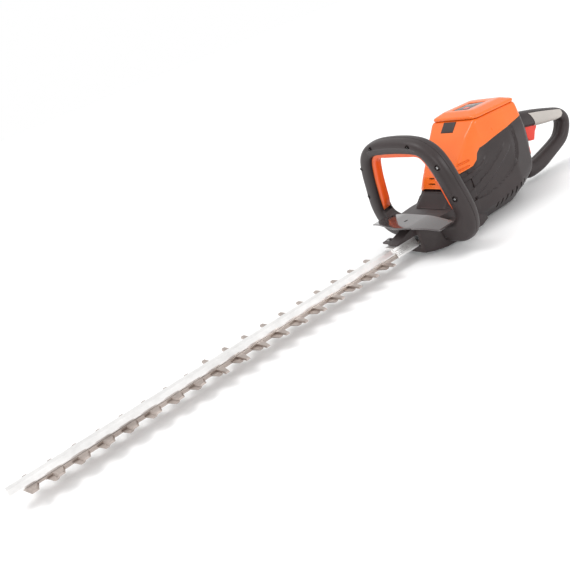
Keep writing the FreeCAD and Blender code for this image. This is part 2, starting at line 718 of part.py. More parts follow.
front_x = size("loop_front_x")
rear_x = size("loop_rear_x")
split_x = size("loop_split_x")
groove_half = size("loop_groove_half")
hole = thicken(front_face(LOOP_INNER, rear_x), front_x - rear_x)
ring = thicken(front_face(LOOP_OUTER, rear_x), front_x - rear_x).cut(hole)
groove = thicken(swell(front_face(LOOP_INNER, split_x - groove_half), 8.0), 2 * groove_half)
groove = groove.cut(Part.makeBox(90.0, 300.0, 60.0, Vector(100.0, -150.0, 0.0)))
ring = ring.cut(groove)
lean_at = Vector(front_x, 0, 170.0)


def leaned(shape):
    """The loop leans forward: its top stands ahead of its feet."""
    shape.rotate(lean_at, Vector(0, 1, 0), size("loop_lean"))
    return shape


middle_room = Part.makeBox(120.0, 2 * 50.0, 75.0, Vector(90.0, -50.0, -17.0))
for label, low_x, high_x in (("loop_rear", rear_x, split_x), ("loop_front", split_x, front_x)):
    slab = Part.makeBox(high_x - low_x, 300.0, 300.0, Vector(low_x, -150.0, -50.0))
    shell = leaned(ring.common(slab)).cut(housing_room).cut(middle_room)
    fixed_shape(label, shell)

switch_half = groove_half - 0.6
u_low = front_face(LOOP_INNER, split_x - switch_half)
u_ring = thicken(swell(u_low, 3.0), 2 * switch_half).cut(thicken(swell(u_low, -8.0), 2 * switch_half))
fixed_shape("front_switch_bar",
            leaned(u_ring.cut(Part.makeBox(90.0, 300.0, 62.0, Vector(100.0, -150.0, 0.0)))))
fixed_shape("front_switch", leaned(Part.makeBox(10.0, 20.0, 1.2, Vector(split_x - 5.0, -10.0, 168.2))))

LOOP_SCREWS = [(42.0, 175.0), (85.0, 140.0), (97.0, 88.0)]
loop_screws = []
for y, z in LOOP_SCREWS:
    for hand in (1, -1):
        at = Vector(front_x, hand * y, z)
        loop_screws.append(Part.makeCylinder(size("screw_head_radius"), 1.4, at, Vector(1, 0, 0)))
fixed_shape("loop_screws", leaned(Part.makeCompound(loop_screws)))
band_side = [(0.0, 162.2), (46.0, 160.6), (46.0, 170.0), (0.0, 172.0)]
fixed_shape("loop_grip_band", leaned(thicken(front_face(band_side, front_x), 1.2)))

# ---------------------------------------------------------------- guard

GUARD_SIDE = [(201.0, 12.0), (194.0, 34.0), (186.0, 58.0), (181.0, 76.0), (172.0, 78.0)]
GUARD_REAR_X = 148.0
guard_low = size("guard_z")
guard_thick = size("guard_thick")
droop = size("guard_droop")
guard_half = 78.0


def guard_arch():
    """The plate's cross-section: a flat middle that droops to both ends, in the front view."""
    low = [(0.0, guard_low), (30.0, guard_low - 0.5), (guard_half, guard_low - droop)]
    high = [(y, z + guard_thick) for y, z in reversed(low)]
    side = low + high
    points = side + [(-y, z) for y, z in reversed(side) if y > 0]
    wire = Part.makePolygon([Vector(140.0, y, z) for y, z in points + points[:1]])
    return Part.Face(wire).extrude(Vector(70.0, 0, 0))


guard = guard_arch().common(prism(mirrored(GUARD_SIDE + [(GUARD_REAR_X, 78.0)]), 30.0, 70.0))
guard = guard.cut(Part.makeBox(7.0, 3.0, 20.0, Vector(170.0, -1.5, 50.0)))
guard = guard.cut(doc.getObject("loop_front").Shape).cut(doc.getObject("loop_rear").Shape)
guard = guard.cut(prism(grown(case_outline, 4.2), 0.0, housing_top + 0.2))
fixed_shape("guard_plate", max(guard.Solids, key=lambda solid: solid.Volume))

# ---------------------------------------------------------------- rear handle

flange_x = size("swivel_x")
keep(cut("FlangeCut",
         fuse("FlangeFuse", [rod("FlangeDisc", ("swivel_x", 0, "swivel_z"), "flange_radius", "3", ALONG_X),
                             rod("Trunnion", ("swivel_x - 6", 0, "swivel_z"), "7.5", "6", ALONG_X)]),
         rod("FlangeBore", ("swivel_x - 10", 0, "swivel_z"), "5", "20", ALONG_X)), "swivel_flange")
keep(cut("RetainerCut",
         rod("RetainerDisc", ("swivel_x - 5.8", 0, "swivel_z"), "10", "2", ALONG_X),
         rod("RetainerBore", ("swivel_x - 7", 0, "swivel_z"), "7.5", "4", ALONG_X)), "swivel_retainer")

HANDLE_OUTER = [(-92.5, 12.0), (-92.5, 122.0), (-112.0, 125.0), (-160.0, 113.0), (-207.0, 98.0),
                (-221.0, 88.0), (-228.0, 73.0), (-225.0, 58.0), (-215.0, 40.0), (-204.0, 32.0),
                (-144.0, 11.0), (-125.0, 9.0)]
HANDLE_INNER = [(-105.5, 38.0), (-105.5, 96.0), (-125.0, 93.0), (-150.0, 87.0), (-190.0, 79.0),
                (-206.0, 76.0), (-209.0, 70.0), (-200.0, 56.0), (-193.0, 50.0), (-130.0, 35.0)]


def side_face(points, y=0.0):
    return Part.Face(Part.makePolygon([Vector(x, y, z) for x, z in points + points[:1]]))


def handle_half_shell(hand):
    """One half of the D handle: a ring in side view, hollow behind its wall."""
    wall = size("handle_wall")
    half = size("handle_half") * hand
    outer = side_face(HANDLE_OUTER)
    inner = side_face(HANDLE_INNER)
    shell = outer.cut(inner).extrude(Vector(0, half, 0))
    hollow = outer.makeOffset2D(-wall, join=2).cut(inner.makeOffset2D(wall, join=2))
    shell = shell.cut(hollow.extrude(Vector(0, half - wall * hand, 0)))
    bore = Part.makeCylinder(7.85, 8.0, Vector(flange_x - 6.0, 0, swivel_z), Vector(1, 0, 0))
    trigger_slot = Part.makeBox(38.0, 2 * size("trigger_half") + 0.8, 16.0,
                                Vector(-151.0, -size("trigger_half") - 0.4, 84.0))
    button_slot = Part.makeBox(6.0, 10.6, 16.6, Vector(-108.0, -5.3, swivel_z - 20.3))
    return shell.cut(bore).cut(trigger_slot).cut(button_slot)


fixed_shape("handle_left", handle_half_shell(1))
fixed_shape("handle_right", handle_half_shell(-1))

GRIP_SIDE = [(-136.0, 117.0), (-196.0, 99.0), (-205.0, 88.0), (-182.0, 83.0), (-126.0, 100.0)]
grips = []
for hand in (1, -1):
    grips.append(side_face(GRIP_SIDE, hand * size("handle_half")).extrude(Vector(0, hand * 1.2, 0)))
fixed_shape("handle_grips", Part.makeCompound(grips))

TRIGGER_SIDE = [(-118.0, 99.0), (-119.0, 78.0), (-125.0, 69.0), (-135.0, 67.0), (-141.0, 80.0),
                (-147.0, 86.0), (-147.0, 95.0)]
TRIGGER_PIN = (-122.0, 100.0)
trigger_half = size("trigger_half")
trigger = side_face(TRIGGER_SIDE, -trigger_half).extrude(Vector(0, 2 * trigger_half, 0))
trigger_boss = Part.makeCylinder(4.0, 2 * trigger_half,
                                 Vector(TRIGGER_PIN[0], -trigger_half, TRIGGER_PIN[1]), Vector(0, 1, 0))
trigger_bore = Part.makeCylinder(2.05, 40.0, Vector(TRIGGER_PIN[0], -20.0, TRIGGER_PIN[1]), Vector(0, 1, 0))
fixed_shape("trigger", trigger.fuse(trigger_boss).cut(trigger_bore))
keep(rod("TriggerPin", (TRIGGER_PIN[0], "handle_wall - handle_half", TRIGGER_PIN[1]), "2",
         "2 * handle_half - 2 * handle_wall", ALONG_Y), "trigger_pin")
keep(box("TriggerSwitch", (-146, -5, 101.5), "16", "10", "6"), "trigger_switch")
keep(cut("TriggerSpringCut", rod("TriggerSpringOuter", (-136, 0, 97.3), "2.4", "4"),
         rod("TriggerSpringBore", (-136, 0, 97.3), "1.8", "4")), "trigger_spring")
keep(box("SwivelButton", (-122, -5, "swivel_z - 20"), "20.5", "10", "16"), "swivel_button")
keep(cut("SwivelSpringCut", rod("SwivelSpringOuter", (-101.3, 0, "swivel_z - 17"), "2.6", "5.6", ALONG_X),
         rod("SwivelSpringBore", (-101.3, 0, "swivel_z - 17"), "2", "5.6", ALONG_X)), "swivel_spring")

HANDLE_SCREWS = [(-112.0, 20.0), (-206.0, 41.0), (-216.0, 78.0), (-112.0, 112.0)]
handle_screws = []
for x, z in HANDLE_SCREWS:
    at = Vector(x, -size("handle_half") - 1.2, z)
    handle_screws.append(Part.makeCylinder(3.2, 1.2, at, Vector(0, 1, 0)))
fixed_shape("handle_screws", Part.makeCompound(handle_screws))

# ---------------------------------------------------------------- check and write

doc.recompute()
for thing in doc.Objects:
    if "Invalid" in thing.State or "Error" in thing.State:
        raise RuntimeError(f"{thing.Name} failed: {thing.State}")
os.makedirs("parts", exist_ok=True)
for node in NODES:
    if node.Shape.isNull() or not node.Shape.isValid():
        raise RuntimeError(f"{node.Label} has no valid shape")
    node.Shape.exportStep(f"parts/{node.Label}.step")
print(len(NODES), "sub-parts written")
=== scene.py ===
import math

import bmesh
import bpy
import numpy as np
from mathutils import Matrix, Vector


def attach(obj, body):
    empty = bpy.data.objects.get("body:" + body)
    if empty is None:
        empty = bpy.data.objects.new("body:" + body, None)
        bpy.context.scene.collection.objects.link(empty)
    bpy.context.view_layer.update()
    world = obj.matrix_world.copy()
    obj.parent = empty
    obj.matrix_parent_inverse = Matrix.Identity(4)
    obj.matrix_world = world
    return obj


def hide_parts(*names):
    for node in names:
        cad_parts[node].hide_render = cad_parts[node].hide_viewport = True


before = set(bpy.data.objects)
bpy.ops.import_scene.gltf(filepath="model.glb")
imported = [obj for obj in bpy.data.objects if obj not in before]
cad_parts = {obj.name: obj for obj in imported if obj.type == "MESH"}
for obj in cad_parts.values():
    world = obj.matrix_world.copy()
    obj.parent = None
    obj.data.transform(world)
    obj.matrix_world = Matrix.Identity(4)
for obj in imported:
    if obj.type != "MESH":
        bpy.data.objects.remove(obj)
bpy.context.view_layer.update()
MM = 0.001

# ---------------------------------------------------------------- camera, floor and light
# The trimmer is seen from beside the tip of its blade, to the user's left and 0.44 m above
# the floor, so that the blade runs down towards the viewer.
camera_data = bpy.data.cameras.new("view")
camera_data.lens = 48.0
camera_data.sensor_width = 36.0
camera_data.clip_end = 30.0
camera = bpy.data.objects.new("view", camera_data)
bpy.context.scene.collection.objects.link(camera)
camera_right = Vector((-0.77336, 0.53684, -0.33723))
camera_up = Vector((-0.46578, -0.12027, 0.87669))
camera_back = Vector((0.43008, 0.83507, 0.34306))
turn = Matrix((camera_right, camera_up, camera_back)).transposed()
camera.matrix_world = Matrix.Translation((0.86801, 0.89082, 0.43813)) @ turn.to_4x4()
bpy.context.scene.camera = camera
bpy.context.scene.view_settings.view_transform = "Standard"


def link(name, mesh):
    """A new object at the origin with this mesh."""
    thing = bpy.data.objects.new(name, mesh)
    bpy.context.scene.collection.objects.link(thing)
    return thing


def plain_material(name):
    """An empty material with its shader: (material, nodes, links, shader)."""
    material = bpy.data.materials.new(name)
    material.use_nodes = True
    tree = material.node_tree
    return material, tree.nodes, tree.links, tree.nodes["Principled BSDF"]


floor_mesh = bpy.data.meshes.new("floor")
floor_mesh.from_pydata([(-8, -8, -0.0005), (8, -8, -0.0005), (8, 8, -0.0005), (-8, 8, -0.0005)],
                       [], [(0, 1, 2, 3)])
floor = link("floor", floor_mesh)
floor_paint, nodes, links, shader = plain_material("floor_paint")
shader.inputs["Base Color"].default_value = (0.93, 0.93, 0.93, 1)
shader.inputs["Roughness"].default_value = 0.9
floor_mesh.materials.append(floor_paint)

world = bpy.data.worlds.new("studio")
bpy.context.scene.world = world
world.use_nodes = True
world.node_tree.nodes["Background"].inputs["Color"].default_value = (1.0, 1.0, 1.0, 1)
world.node_tree.nodes["Background"].inputs["Strength"].default_value = 1.0

sun_data = bpy.data.lights.new("overhead", "SUN")
sun_data.energy = 1.0
sun_data.angle = math.radians(28.0)
sun = bpy.data.objects.new("overhead", sun_data)
sun.rotation_euler = Vector((-0.35, 0.25, -1.0)).to_track_quat("-Z", "Y").to_euler()
bpy.context.scene.collection.objects.link(sun)
for name, place, aim, size, watts in (
        ("front", (1.5, 1.3, 0.9), (0.1, 0.0, 0.1), 0.5, 6.0),
        ("left", (-0.5, 1.6, 0.8), (0.0, 0.0, 0.1), 0.4, 5.0)):
    lamp_data = bpy.data.lights.new(name, "AREA")
    lamp_data.size = size
    lamp_data.energy = watts
    lamp = bpy.data.objects.new(name, lamp_data)
    lamp.location = place
    lamp.rotation_euler = (Vector(aim) - Vector(place)).to_track_quat("-Z", "Y").to_euler()
    bpy.context.scene.collection.objects.link(lamp)

# ---------------------------------------------------------------- blades
# Two stamped and ground steel blades lie flat on each other under the bar. They are
# hardened, and polished by rubbing, with fine grinding marks across the teeth.


def node_group(name, inputs, outputs):
    """A shader group with named sockets: (tree, its input node, its output node)."""
    tree = bpy.data.node_groups.new(name, "ShaderNodeTree")
    for label, value in inputs:
        socket = tree.interface.new_socket(label, in_out="INPUT", socket_type="NodeSocketFloat")
        socket.default_value = value
    for label in outputs:
        tree.interface.new_socket(label, in_out="OUTPUT", socket_type="NodeSocketFloat")
    return tree, tree.nodes.new("NodeGroupInput"), tree.nodes.new("NodeGroupOutput")


def noise(tree, scale, detail, source=None):
    node = tree.nodes.new("ShaderNodeTexNoise")
    node.inputs["Scale"].default_value = scale
    node.inputs["Detail"].default_value = detail
    if source is not None:
        tree.links.new(source, node.inputs["Vector"])
    return node


def stretched(tree, scale):
    """Object coordinates stretched by a different amount along each axis."""
    place = tree.nodes.new("ShaderNodeTexCoord")
    mapping = tree.nodes.new("ShaderNodeMapping")
    mapping.inputs["Scale"].default_value = scale
    tree.links.new(place.outputs["Object"], mapping.inputs["Vector"])
    return mapping.outputs["Vector"]


def build_brush_marks():
    """Long thin marks along X, as a brush, a belt or an extrusion die leaves on metal."""
    tree, given, out = node_group("brush_marks", [("Fine", 1.0)], ["Height", "Tone"])
    fine = noise(tree, 900.0, 3.0, stretched(tree, (0.012, 1.0, 1.0)))
    broad = noise(tree, 60.0, 4.0, stretched(tree, (0.3, 1.0, 1.0)))
    scaled = tree.nodes.new("ShaderNodeMath")
    scaled.operation = "MULTIPLY"
    tree.links.new(fine.outputs["Fac"], scaled.inputs[0])
    tree.links.new(given.outputs["Fine"], scaled.inputs[1])
    tree.links.new(scaled.outputs[0], out.inputs["Height"])
    tree.links.new(broad.outputs["Fac"], out.inputs["Tone"])
    return tree


def build_edge_wear():
    """A mask that is one on rubbed outer edges, broken up by noise."""
    tree, given, out = node_group("edge_wear", [("Start", 0.53), ("Width", 0.06)], ["Mask"])
    geometry = tree.nodes.new("ShaderNodeNewGeometry")
    less = tree.nodes.new("ShaderNodeMath")
    less.operation = "SUBTRACT"
    share = tree.nodes.new("ShaderNodeMath")
    share.operation = "DIVIDE"
    share.use_clamp = True
    broken = noise(tree, 120.0, 4.0, stretched(tree, (1.0, 1.0, 1.0)))
    both = tree.nodes.new("ShaderNodeMath")
    both.operation = "MULTIPLY"
    tree.links.new(geometry.outputs["Pointiness"], less.inputs[0])
    tree.links.new(given.outputs["Start"], less.inputs[1])
    tree.links.new(less.outputs[0], share.inputs[0])
    tree.links.new(given.outputs["Width"], share.inputs[1])
    tree.links.new(share.outputs[0], both.inputs[0])
    tree.links.new(broken.outputs["Fac"], both.inputs[1])
    tree.links.new(both.outputs[0], out.inputs["Mask"])
    return tree


brush_marks = build_brush_marks()
edge_wear = build_edge_wear()


def add_group(nodes, tree, **values):
    node = nodes.new("ShaderNodeGroup")
    node.node_tree = tree
    for label, value in values.items():
        node.inputs[label].default_value = value
    return node


def colour_mix(nodes, links, mask, low, high):
    """Two colours mixed by a mask socket."""
    mix = nodes.new("ShaderNodeMix")
    mix.data_type = "RGBA"
    links.new(mask, mix.inputs["Factor"])
    for label, value in (("A", low), ("B", high)):
        socket = [s for s in mix.inputs if s.name == label and s.type == "RGBA"][0]
        if isinstance(value, tuple):
            socket.default_value = (*value, 1)
        else:
            links.new(value, socket)
    return [s for s in mix.outputs if s.type == "RGBA"][0]


def spread(nodes, links, mask, low, high, start=0.0, end=1.0):
    """A mask socket spread from one range of values to another."""
    node = nodes.new("ShaderNodeMapRange")
    node.inputs["From Min"].default_value = start
    node.inputs["From Max"].default_value = end
    node.inputs["To Min"].default_value = low
    node.inputs["To Max"].default_value = high
    links.new(mask, node.inputs["Value"])
    return node.outputs["Result"]


def bump(nodes, links, shader, height, distance):
    node = nodes.new("ShaderNodeBump")
    node.inputs["Distance"].default_value = distance
    links.new(height, node.inputs["Height"])
    links.new(node.outputs["Normal"], shader.inputs["Normal"])


def metal(name, low, high, rough_low, rough_high, depth, fine=1.0):
    """A metal with brush marks along X, its tone and roughness varying over the surface."""
    material, nodes, links, shader = plain_material(name)
    marks = add_group(nodes, brush_marks, Fine=fine)
    rubbed = add_group(nodes, edge_wear)
    share = spread(nodes, links, marks.outputs["Tone"], 0.0, 1.0, 0.3, 0.7)
    tone = colour_mix(nodes, links, share, low, high)
    bright = tuple(min(1.0, value * 1.12) for value in high)
    links.new(colour_mix(nodes, links, rubbed.outputs["Mask"], tone, bright), shader.inputs["Base Color"])
    links.new(spread(nodes, links, marks.outputs["Tone"], rough_low, rough_high, 0.3, 0.7),
              shader.inputs["Roughness"])
    shader.inputs["Metallic"].default_value = 1.0
    bump(nodes, links, shader, marks.outputs["Height"], depth)
    return material


def finish_nodes(material, slot, *names):
    """CAD nodes that stay as they are, in this material."""
    for name in names:
        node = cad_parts[name]
        node.data.materials.clear()
        node.data.materials.append(material)
        for face in node.data.polygons:
            face.material_index = 0


blade_steel = metal("blade_steel", (0.3, 0.25, 0.225), (0.47, 0.41, 0.375), 0.3, 0.48, 0.00006)
finish_nodes(blade_steel, "blade_steel", "upper_blade", "lower_blade")

# ---------------------------------------------------------------- bar and block
# The bar and its clamping block are aluminium extrusions with a pale satin anodised
# finish and faint die lines along their length. Bolts hold the blades under the bar.
bar_aluminium = metal("bar_aluminium", (0.66, 0.65, 0.64), (0.84, 0.83, 0.82), 0.28, 0.4, 0.00004)
finish_nodes(bar_aluminium, "bar_aluminium", "blade_bar", "blade_block")
screw_steel = metal("screw_steel", (0.62, 0.62, 0.62), (0.85, 0.85, 0.85), 0.2, 0.34, 0.00002)
finish_nodes(screw_steel, "screw_steel", "blade_bolts", "cover_screws")
bearing_brass = metal("bearing_brass", (0.62, 0.42, 0.16), (0.78, 0.56, 0.26), 0.3, 0.45, 0.00002)
finish_nodes(bearing_brass, "bearing_brass", "blade_bushes")

# ---------------------------------------------------------------- gear train and motor
# The gears, crank and rods are machined steel in a cast aluminium case. The motor stands
# behind them in a black painted can with a copper winding.
gear_steel = metal("gear_steel", (0.36, 0.36, 0.38), (0.56, 0.56, 0.58), 0.25, 0.45, 0.00003)
finish_nodes(gear_steel, "gear_steel", "crank_gear", "crank_sleeve", "crank_axle", "eccentric_upper",
             "eccentric_lower", "rod_upper", "rod_lower", "motor_shaft", "motor_rotor", "motor_pinion",
             "motor_bearings", "trigger_pin", "swivel_retainer", "battery_terminals")
case_aluminium = metal("case_aluminium", (0.45, 0.46, 0.47), (0.62, 0.63, 0.64), 0.5, 0.7, 0.0002, 0.4)
finish_nodes(case_aluminium, "case_aluminium", "gearcase", "gearcase_cover", "motor_plate")
winding_copper = metal("winding_copper", (0.5, 0.2, 0.08), (0.75, 0.36, 0.18), 0.3, 0.5, 0.00025)
finish_nodes(winding_copper, "winding_copper", "motor_stator")
spring_steel = metal("spring_steel", (0.45, 0.45, 0.46), (0.66, 0.66, 0.67), 0.25, 0.4, 0.00004)
finish_nodes(spring_steel, "spring_steel", "trigger_spring", "swivel_spring", "button_spring", "eject_spring")


def build_moulded_grain():
    """The fine spark-eroded grain of a mould, with slow changes of tone over the piece."""
    tree, given, out = node_group("moulded_grain", [("Scale", 1500.0)], ["Height", "Tone"])
    grain = noise(tree, 1500.0, 3.0, stretched(tree, (1.0, 1.0, 1.0)))
    tree.links.new(given.outputs["Scale"], grain.inputs["Scale"])
    slow = noise(tree, 14.0, 5.0, stretched(tree, (1.0, 1.0, 1.0)))
    tree.links.new(grain.outputs["Fac"], out.inputs["Height"])
    tree.links.new(slow.outputs["Fac"], out.inputs["Tone"])
    return tree


moulded_grain = build_moulded_grain()


def moulded(name, low, high, worn, rough_low, rough_high, grain, depth, coat=0.0, sheen=0.5):
    """A moulded plastic: mould grain, a slow change of tone and paler rubbed edges."""
    material, nodes, links, shader = plain_material(name)
    surface = add_group(nodes, moulded_grain, Scale=grain)
    rubbed = add_group(nodes, edge_wear)
    share = spread(nodes, links, surface.outputs["Tone"], 0.0, 1.0, 0.3, 0.7)
    tone = colour_mix(nodes, links, share, low, high)
    links.new(colour_mix(nodes, links, rubbed.outputs["Mask"], tone, worn), shader.inputs["Base Color"])
    links.new(spread(nodes, links, surface.outputs["Tone"], rough_low, rough_high, 0.3, 0.7),
              shader.inputs["Roughness"])
    shader.inputs["Specular IOR Level"].default_value = sheen
    shader.inputs["Coat Weight"].default_value = coat
    shader.inputs["Coat Roughness"].default_value = 0.12
    bump(nodes, links, shader, surface.outputs["Height"], depth)
    return material


can_paint = moulded("can_paint", (0.02, 0.02, 0.022), (0.035, 0.035, 0.04), (0.1, 0.1, 0.1), 0.3, 0.45,
                    900.0, 0.00003)
finish_nodes(can_paint, "can_steel", "motor_can", "capacitors")
board_lacquer = moulded("board_lacquer", (0.01, 0.1, 0.04), (0.02, 0.16, 0.06), (0.1, 0.3, 0.15), 0.2, 0.35,
                        700.0, 0.00002, 0.4)
finish_nodes(board_lacquer, "board_green", "controller_board")
cell_wrap = moulded("cell_wrap", (0.05, 0.14, 0.34), (0.07, 0.2, 0.45), (0.2, 0.3, 0.5), 0.2, 0.3,
                    500.0, 0.00001, 0.5)
finish_nodes(cell_wrap, "cell_wrap", "battery_cells")

# ---------------------------------------------------------------- gear housing
# A dark glass-filled nylon moulding wraps the gearcase under the guard. Its nose lies on
# the block, and a lug beside it takes a screw. All its edges are well rounded.
dark_plastic = moulded("dark_plastic", (0.024, 0.017, 0.017), (0.036, 0.026, 0.026), (0.075, 0.06, 0.058),
                       0.34, 0.46, 1400.0, 0.00005, 0.0, 0.36)


def sharpen(mesh, angle):
    """Smooth shading, broken at edges that turn by more than an angle in degrees."""
    work = bmesh.new()
    work.from_mesh(mesh)
    for face in work.faces:
        face.smooth = True
    for edge in work.edges:
        edge.smooth = len(edge.link_faces) == 2 and edge.calc_face_angle(0.0) < math.radians(angle)
    work.to_mesh(mesh)
    work.free()


def baked(thing):
    """Turns an object with modifiers into one with a plain mesh."""
    bpy.context.view_layer.update()
    depsgraph = bpy.context.evaluated_depsgraph_get()
    mesh = bpy.data.meshes.new_from_object(thing.evaluated_get(depsgraph))
    thing.modifiers.clear()
    thing.data = mesh
    return thing


def rounded_copy(name, node, width, segments=3, angle=25.0):
    """A CAD node's shape with every sharp edge rounded."""
    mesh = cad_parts[node].data.copy()
    work = bmesh.new()
    work.from_mesh(mesh)
    bmesh.ops.remove_doubles(work, verts=work.verts, dist=0.00002)
    bmesh.ops.dissolve_limit(work, angle_limit=math.radians(1.0), verts=work.verts, edges=work.edges)
    work.to_mesh(mesh)
    work.free()
    mesh.materials.clear()
    thing = link(name, mesh)
    rounding = thing.modifiers.new("rounding", "BEVEL")
    rounding.width = width
    rounding.segments = segments
    rounding.limit_method = "ANGLE"
    rounding.angle_limit = math.radians(angle)
    baked(thing)
    sharpen(thing.data, 40.0)
    return thing


def settle(thing, material, slot, body, *nodes):
    """Gives a finished piece its material and body, in place of its CAD nodes."""
    thing.data.materials.clear()
    thing.data.materials.append(material)
    for face in thing.data.polygons:
        face.material_index = 0
    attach(thing, body)
    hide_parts(*nodes)
    return thing


housing = rounded_copy("gear_housing_moulding", "gear_housing", 0.9 * MM, 3)
settle(housing, dark_plastic, "dark_plastic", "housing", "gear_housing")
finish_nodes(dark_plastic, "dark_plastic", "battery_bay", "battery_case", "cooling_fan", "front_switch",
             "swivel_flange", "trigger_switch")

# ---------------------------------------------------------------- guard
# The hand guard is a thin polished plate with a drooping edge and one short slot, pushed
# on to the gear housing from the front.


def finished(work, name):
    """An object made from a closed mesh, with its faces turned outwards."""
    bmesh.ops.recalc_face_normals(work, faces=work.faces)
    mesh = bpy.data.meshes.new(name)
    work.to_mesh(mesh)
    work.free()
    return link(name, mesh)


def carve(thing, cutter):
    """Takes a cutter's room out of an object."""
    carving = thing.modifiers.new("carving", "BOOLEAN")
    carving.operation = "DIFFERENCE"
    carving.object = cutter
    carving.solver = "EXACT"
    return baked(thing)


def cut_away(thing, cutter):
    """Takes a cutter's room out of an object, and removes the cutter."""
    carve(thing, cutter)
    bpy.data.objects.remove(cutter)


guard_plastic = moulded("guard_plastic", (0.05, 0.042, 0.042), (0.065, 0.055, 0.055), (0.12, 0.1, 0.1),
                        0.1, 0.16, 700.0, 0.000008, 0.6)
GUARD_EDGE = [(-79.0, 176.0), (-76.0, 181.0), (-58.0, 186.5), (-34.0, 194.5), (-12.0, 200.0), (0.0, 200.8),
              (12.0, 200.0), (34.0, 194.5), (58.0, 186.5), (76.0, 181.0), (79.0, 176.0)]
GUARD_REAR = 150.0


def guard_plate(rows=26, columns=180):
    """The plate as a closed grid: flat in the middle, drooping to both ends, thin at its rim."""
    edge_y, edge_x = [p[0] for p in GUARD_EDGE], [p[1] for p in GUARD_EDGE]
    layers = []
    for side in (1, -1):
        grid = np.zeros((columns, rows, 3))
        for i, y in enumerate(np.linspace(-77.6, 77.6, columns)):
            front = float(np.interp(y, edge_y, edge_x))
            for j, share in enumerate(np.linspace(0.0, 1.0, rows) ** 0.8):
                x = GUARD_REAR + (front - GUARD_REAR) * share
                rim = min(front - x, 77.6 - abs(y))
                half = 1.35 * math.sqrt(max(1.0 - max(1.0 - rim / 1.6, 0.0) ** 2, 0.0)) + 0.01
                droop = 7.6 * max(0.0, (abs(y) - 24.0) / 54.0) ** 1.5
                lip = 0.02 * max(0.0, x - 190.0) ** 1.5
                middle = 58.4 - droop - lip
                grid[i, j] = (x, y, middle + side * half)
        layers.append(grid)
    work = bmesh.new()
    made = [[[work.verts.new(Vector(p) * MM) for p in line] for line in grid] for grid in layers]
    for layer in made:
        for i in range(columns - 1):
            for j in range(rows - 1):
                work.faces.new((layer[i][j], layer[i][j + 1], layer[i + 1][j + 1], layer[i + 1][j]))
    top, low = made
    around = ([(i, 0) for i in range(columns)]
              + [(columns - 1, j) for j in range(1, rows)]
              + [(i, rows - 1) for i in range(columns - 2, -1, -1)]
              + [(0, j) for j in range(rows - 2, 0, -1)])
    for (i, j), (k, m) in zip(around, around[1:] + around[:1]):
        work.faces.new((top[i][j], top[k][m], low[k][m], low[i][j]))
    return finished(work, "guard_moulding")


guard = guard_plate()
bpy.ops.mesh.primitive_cube_add(size=1.0)
slot_tool = bpy.context.object
slot_size = Matrix.Diagonal((0.007, 0.0032, 0.02, 1.0))
slot_tool.data.transform(Matrix.Translation((0.1735, 0.0, 0.058)) @ slot_size)
cut_away(guard, slot_tool)
sharpen(guard.data, 40.0)
settle(guard, guard_plastic, "guard_plastic", "housing", "guard_plate")

# ---------------------------------------------------------------- body shells, cowl and hood
# The body is a clamshell of two dark halves with an orange hood on top. The halves carry
# a recessed side panel with a raised ribbon across it, and cooling slots low at the back.
BODY = [
    # x, low z, low half, widest half, its low z, its high z, top half, top z
    (130.0, 8.0, 20.0, 50.0, 26.0, 40.0, 32.0, 50.0),
    (99.0, 8.0, 22.0, 52.0, 28.0, 56.0, 30.0, 76.0),
    (92.0, 6.0, 23.0, 52.5, 28.0, 60.0, 32.0, 93.0),
    (50.0, 2.0, 24.0, 56.0, 30.0, 98.0, 40.0, 143.0),
    (28.0, 0.0, 24.0, 58.0, 32.0, 106.0, 46.0, 164.0),
    (-25.0, 0.0, 24.0, 60.0, 34.0, 116.0, 47.0, 161.6),
    (-65.0, 12.0, 22.0, 54.0, 48.0, 120.0, 46.0, 159.6),
    (-75.0, 22.0, 18.0, 44.0, 66.0, 117.0, 36.0, 142.0),
    (-89.0, 36.0, 15.0, 33.0, 72.0, 108.0, 24.0, 128.0),
]
SEAM = [(135.0, 75.0), (99.5, 75.6), (91.6, 77.5), (87.6, 95.4), (74.0, 98.0), (59.0, 101.0), (50.0, 107.5),
        (45.0, 116.0), (38.0, 121.8), (7.0, 126.5), (-21.0, 130.0), (-54.0, 133.5), (-104.0, 140.0)]
PANEL_EDGE = [(-36.5, 150.0), (-36.5, 129.0), (-34.8, 113.0), (-35.9, 100.0), (-30.7, 83.0), (-22.4, 72.0),
              (-5.4, 62.0), (21.4, 54.8), (49.5, 50.4), (77.5, 52.0), (120.0, 56.0)]
RIBBON = [(96.0, 56.0), (80.0, 60.0), (60.0, 66.5), (33.0, 77.0), (8.0, 90.0), (-10.0, 102.0), (-20.0, 112.0)]
RIDGE = [(100.0, 86.0), (88.0, 85.0), (70.0, 88.5), (45.0, 96.0), (25.0, 108.0)]
BODY_XS = sorted((row[0] for row in BODY))
BODY_TABLE = np.array(sorted(BODY))


def body_row(x):
    """The body's section values at x, averaged over a few millimetres to ease its folds."""
    span = x + np.linspace(-3.0, 3.0, 7)
    span = np.clip(span, BODY_XS[0], BODY_XS[-1])
    return [float(np.mean(np.interp(span, BODY_XS, BODY_TABLE[:, column]))) for column in range(1, 8)]


def fillet(points, radii, steps):
    """An open line of 2-D points with each inner corner rounded."""
    line = [np.array(points[0])]
    for before, corner, after, radius in zip(points, points[1:], points[2:], radii):
        before, corner, after = np.array(before), np.array(corner), np.array(after)
        back = (before - corner) / np.linalg.norm(before - corner)
        ahead = (after - corner) / np.linalg.norm(after - corner)
        reach = min(radius, 0.45 * np.linalg.norm(before - corner), 0.45 * np.linalg.norm(after - corner))
        start, end = corner + back * reach, corner + ahead * reach
        for t in np.linspace(0.0, 1.0, steps):
            line.append((1 - t) ** 2 * start + 2 * t * (1 - t) * corner + t ** 2 * end)
    line.append(np.array(points[-1]))
    return np.array(line)


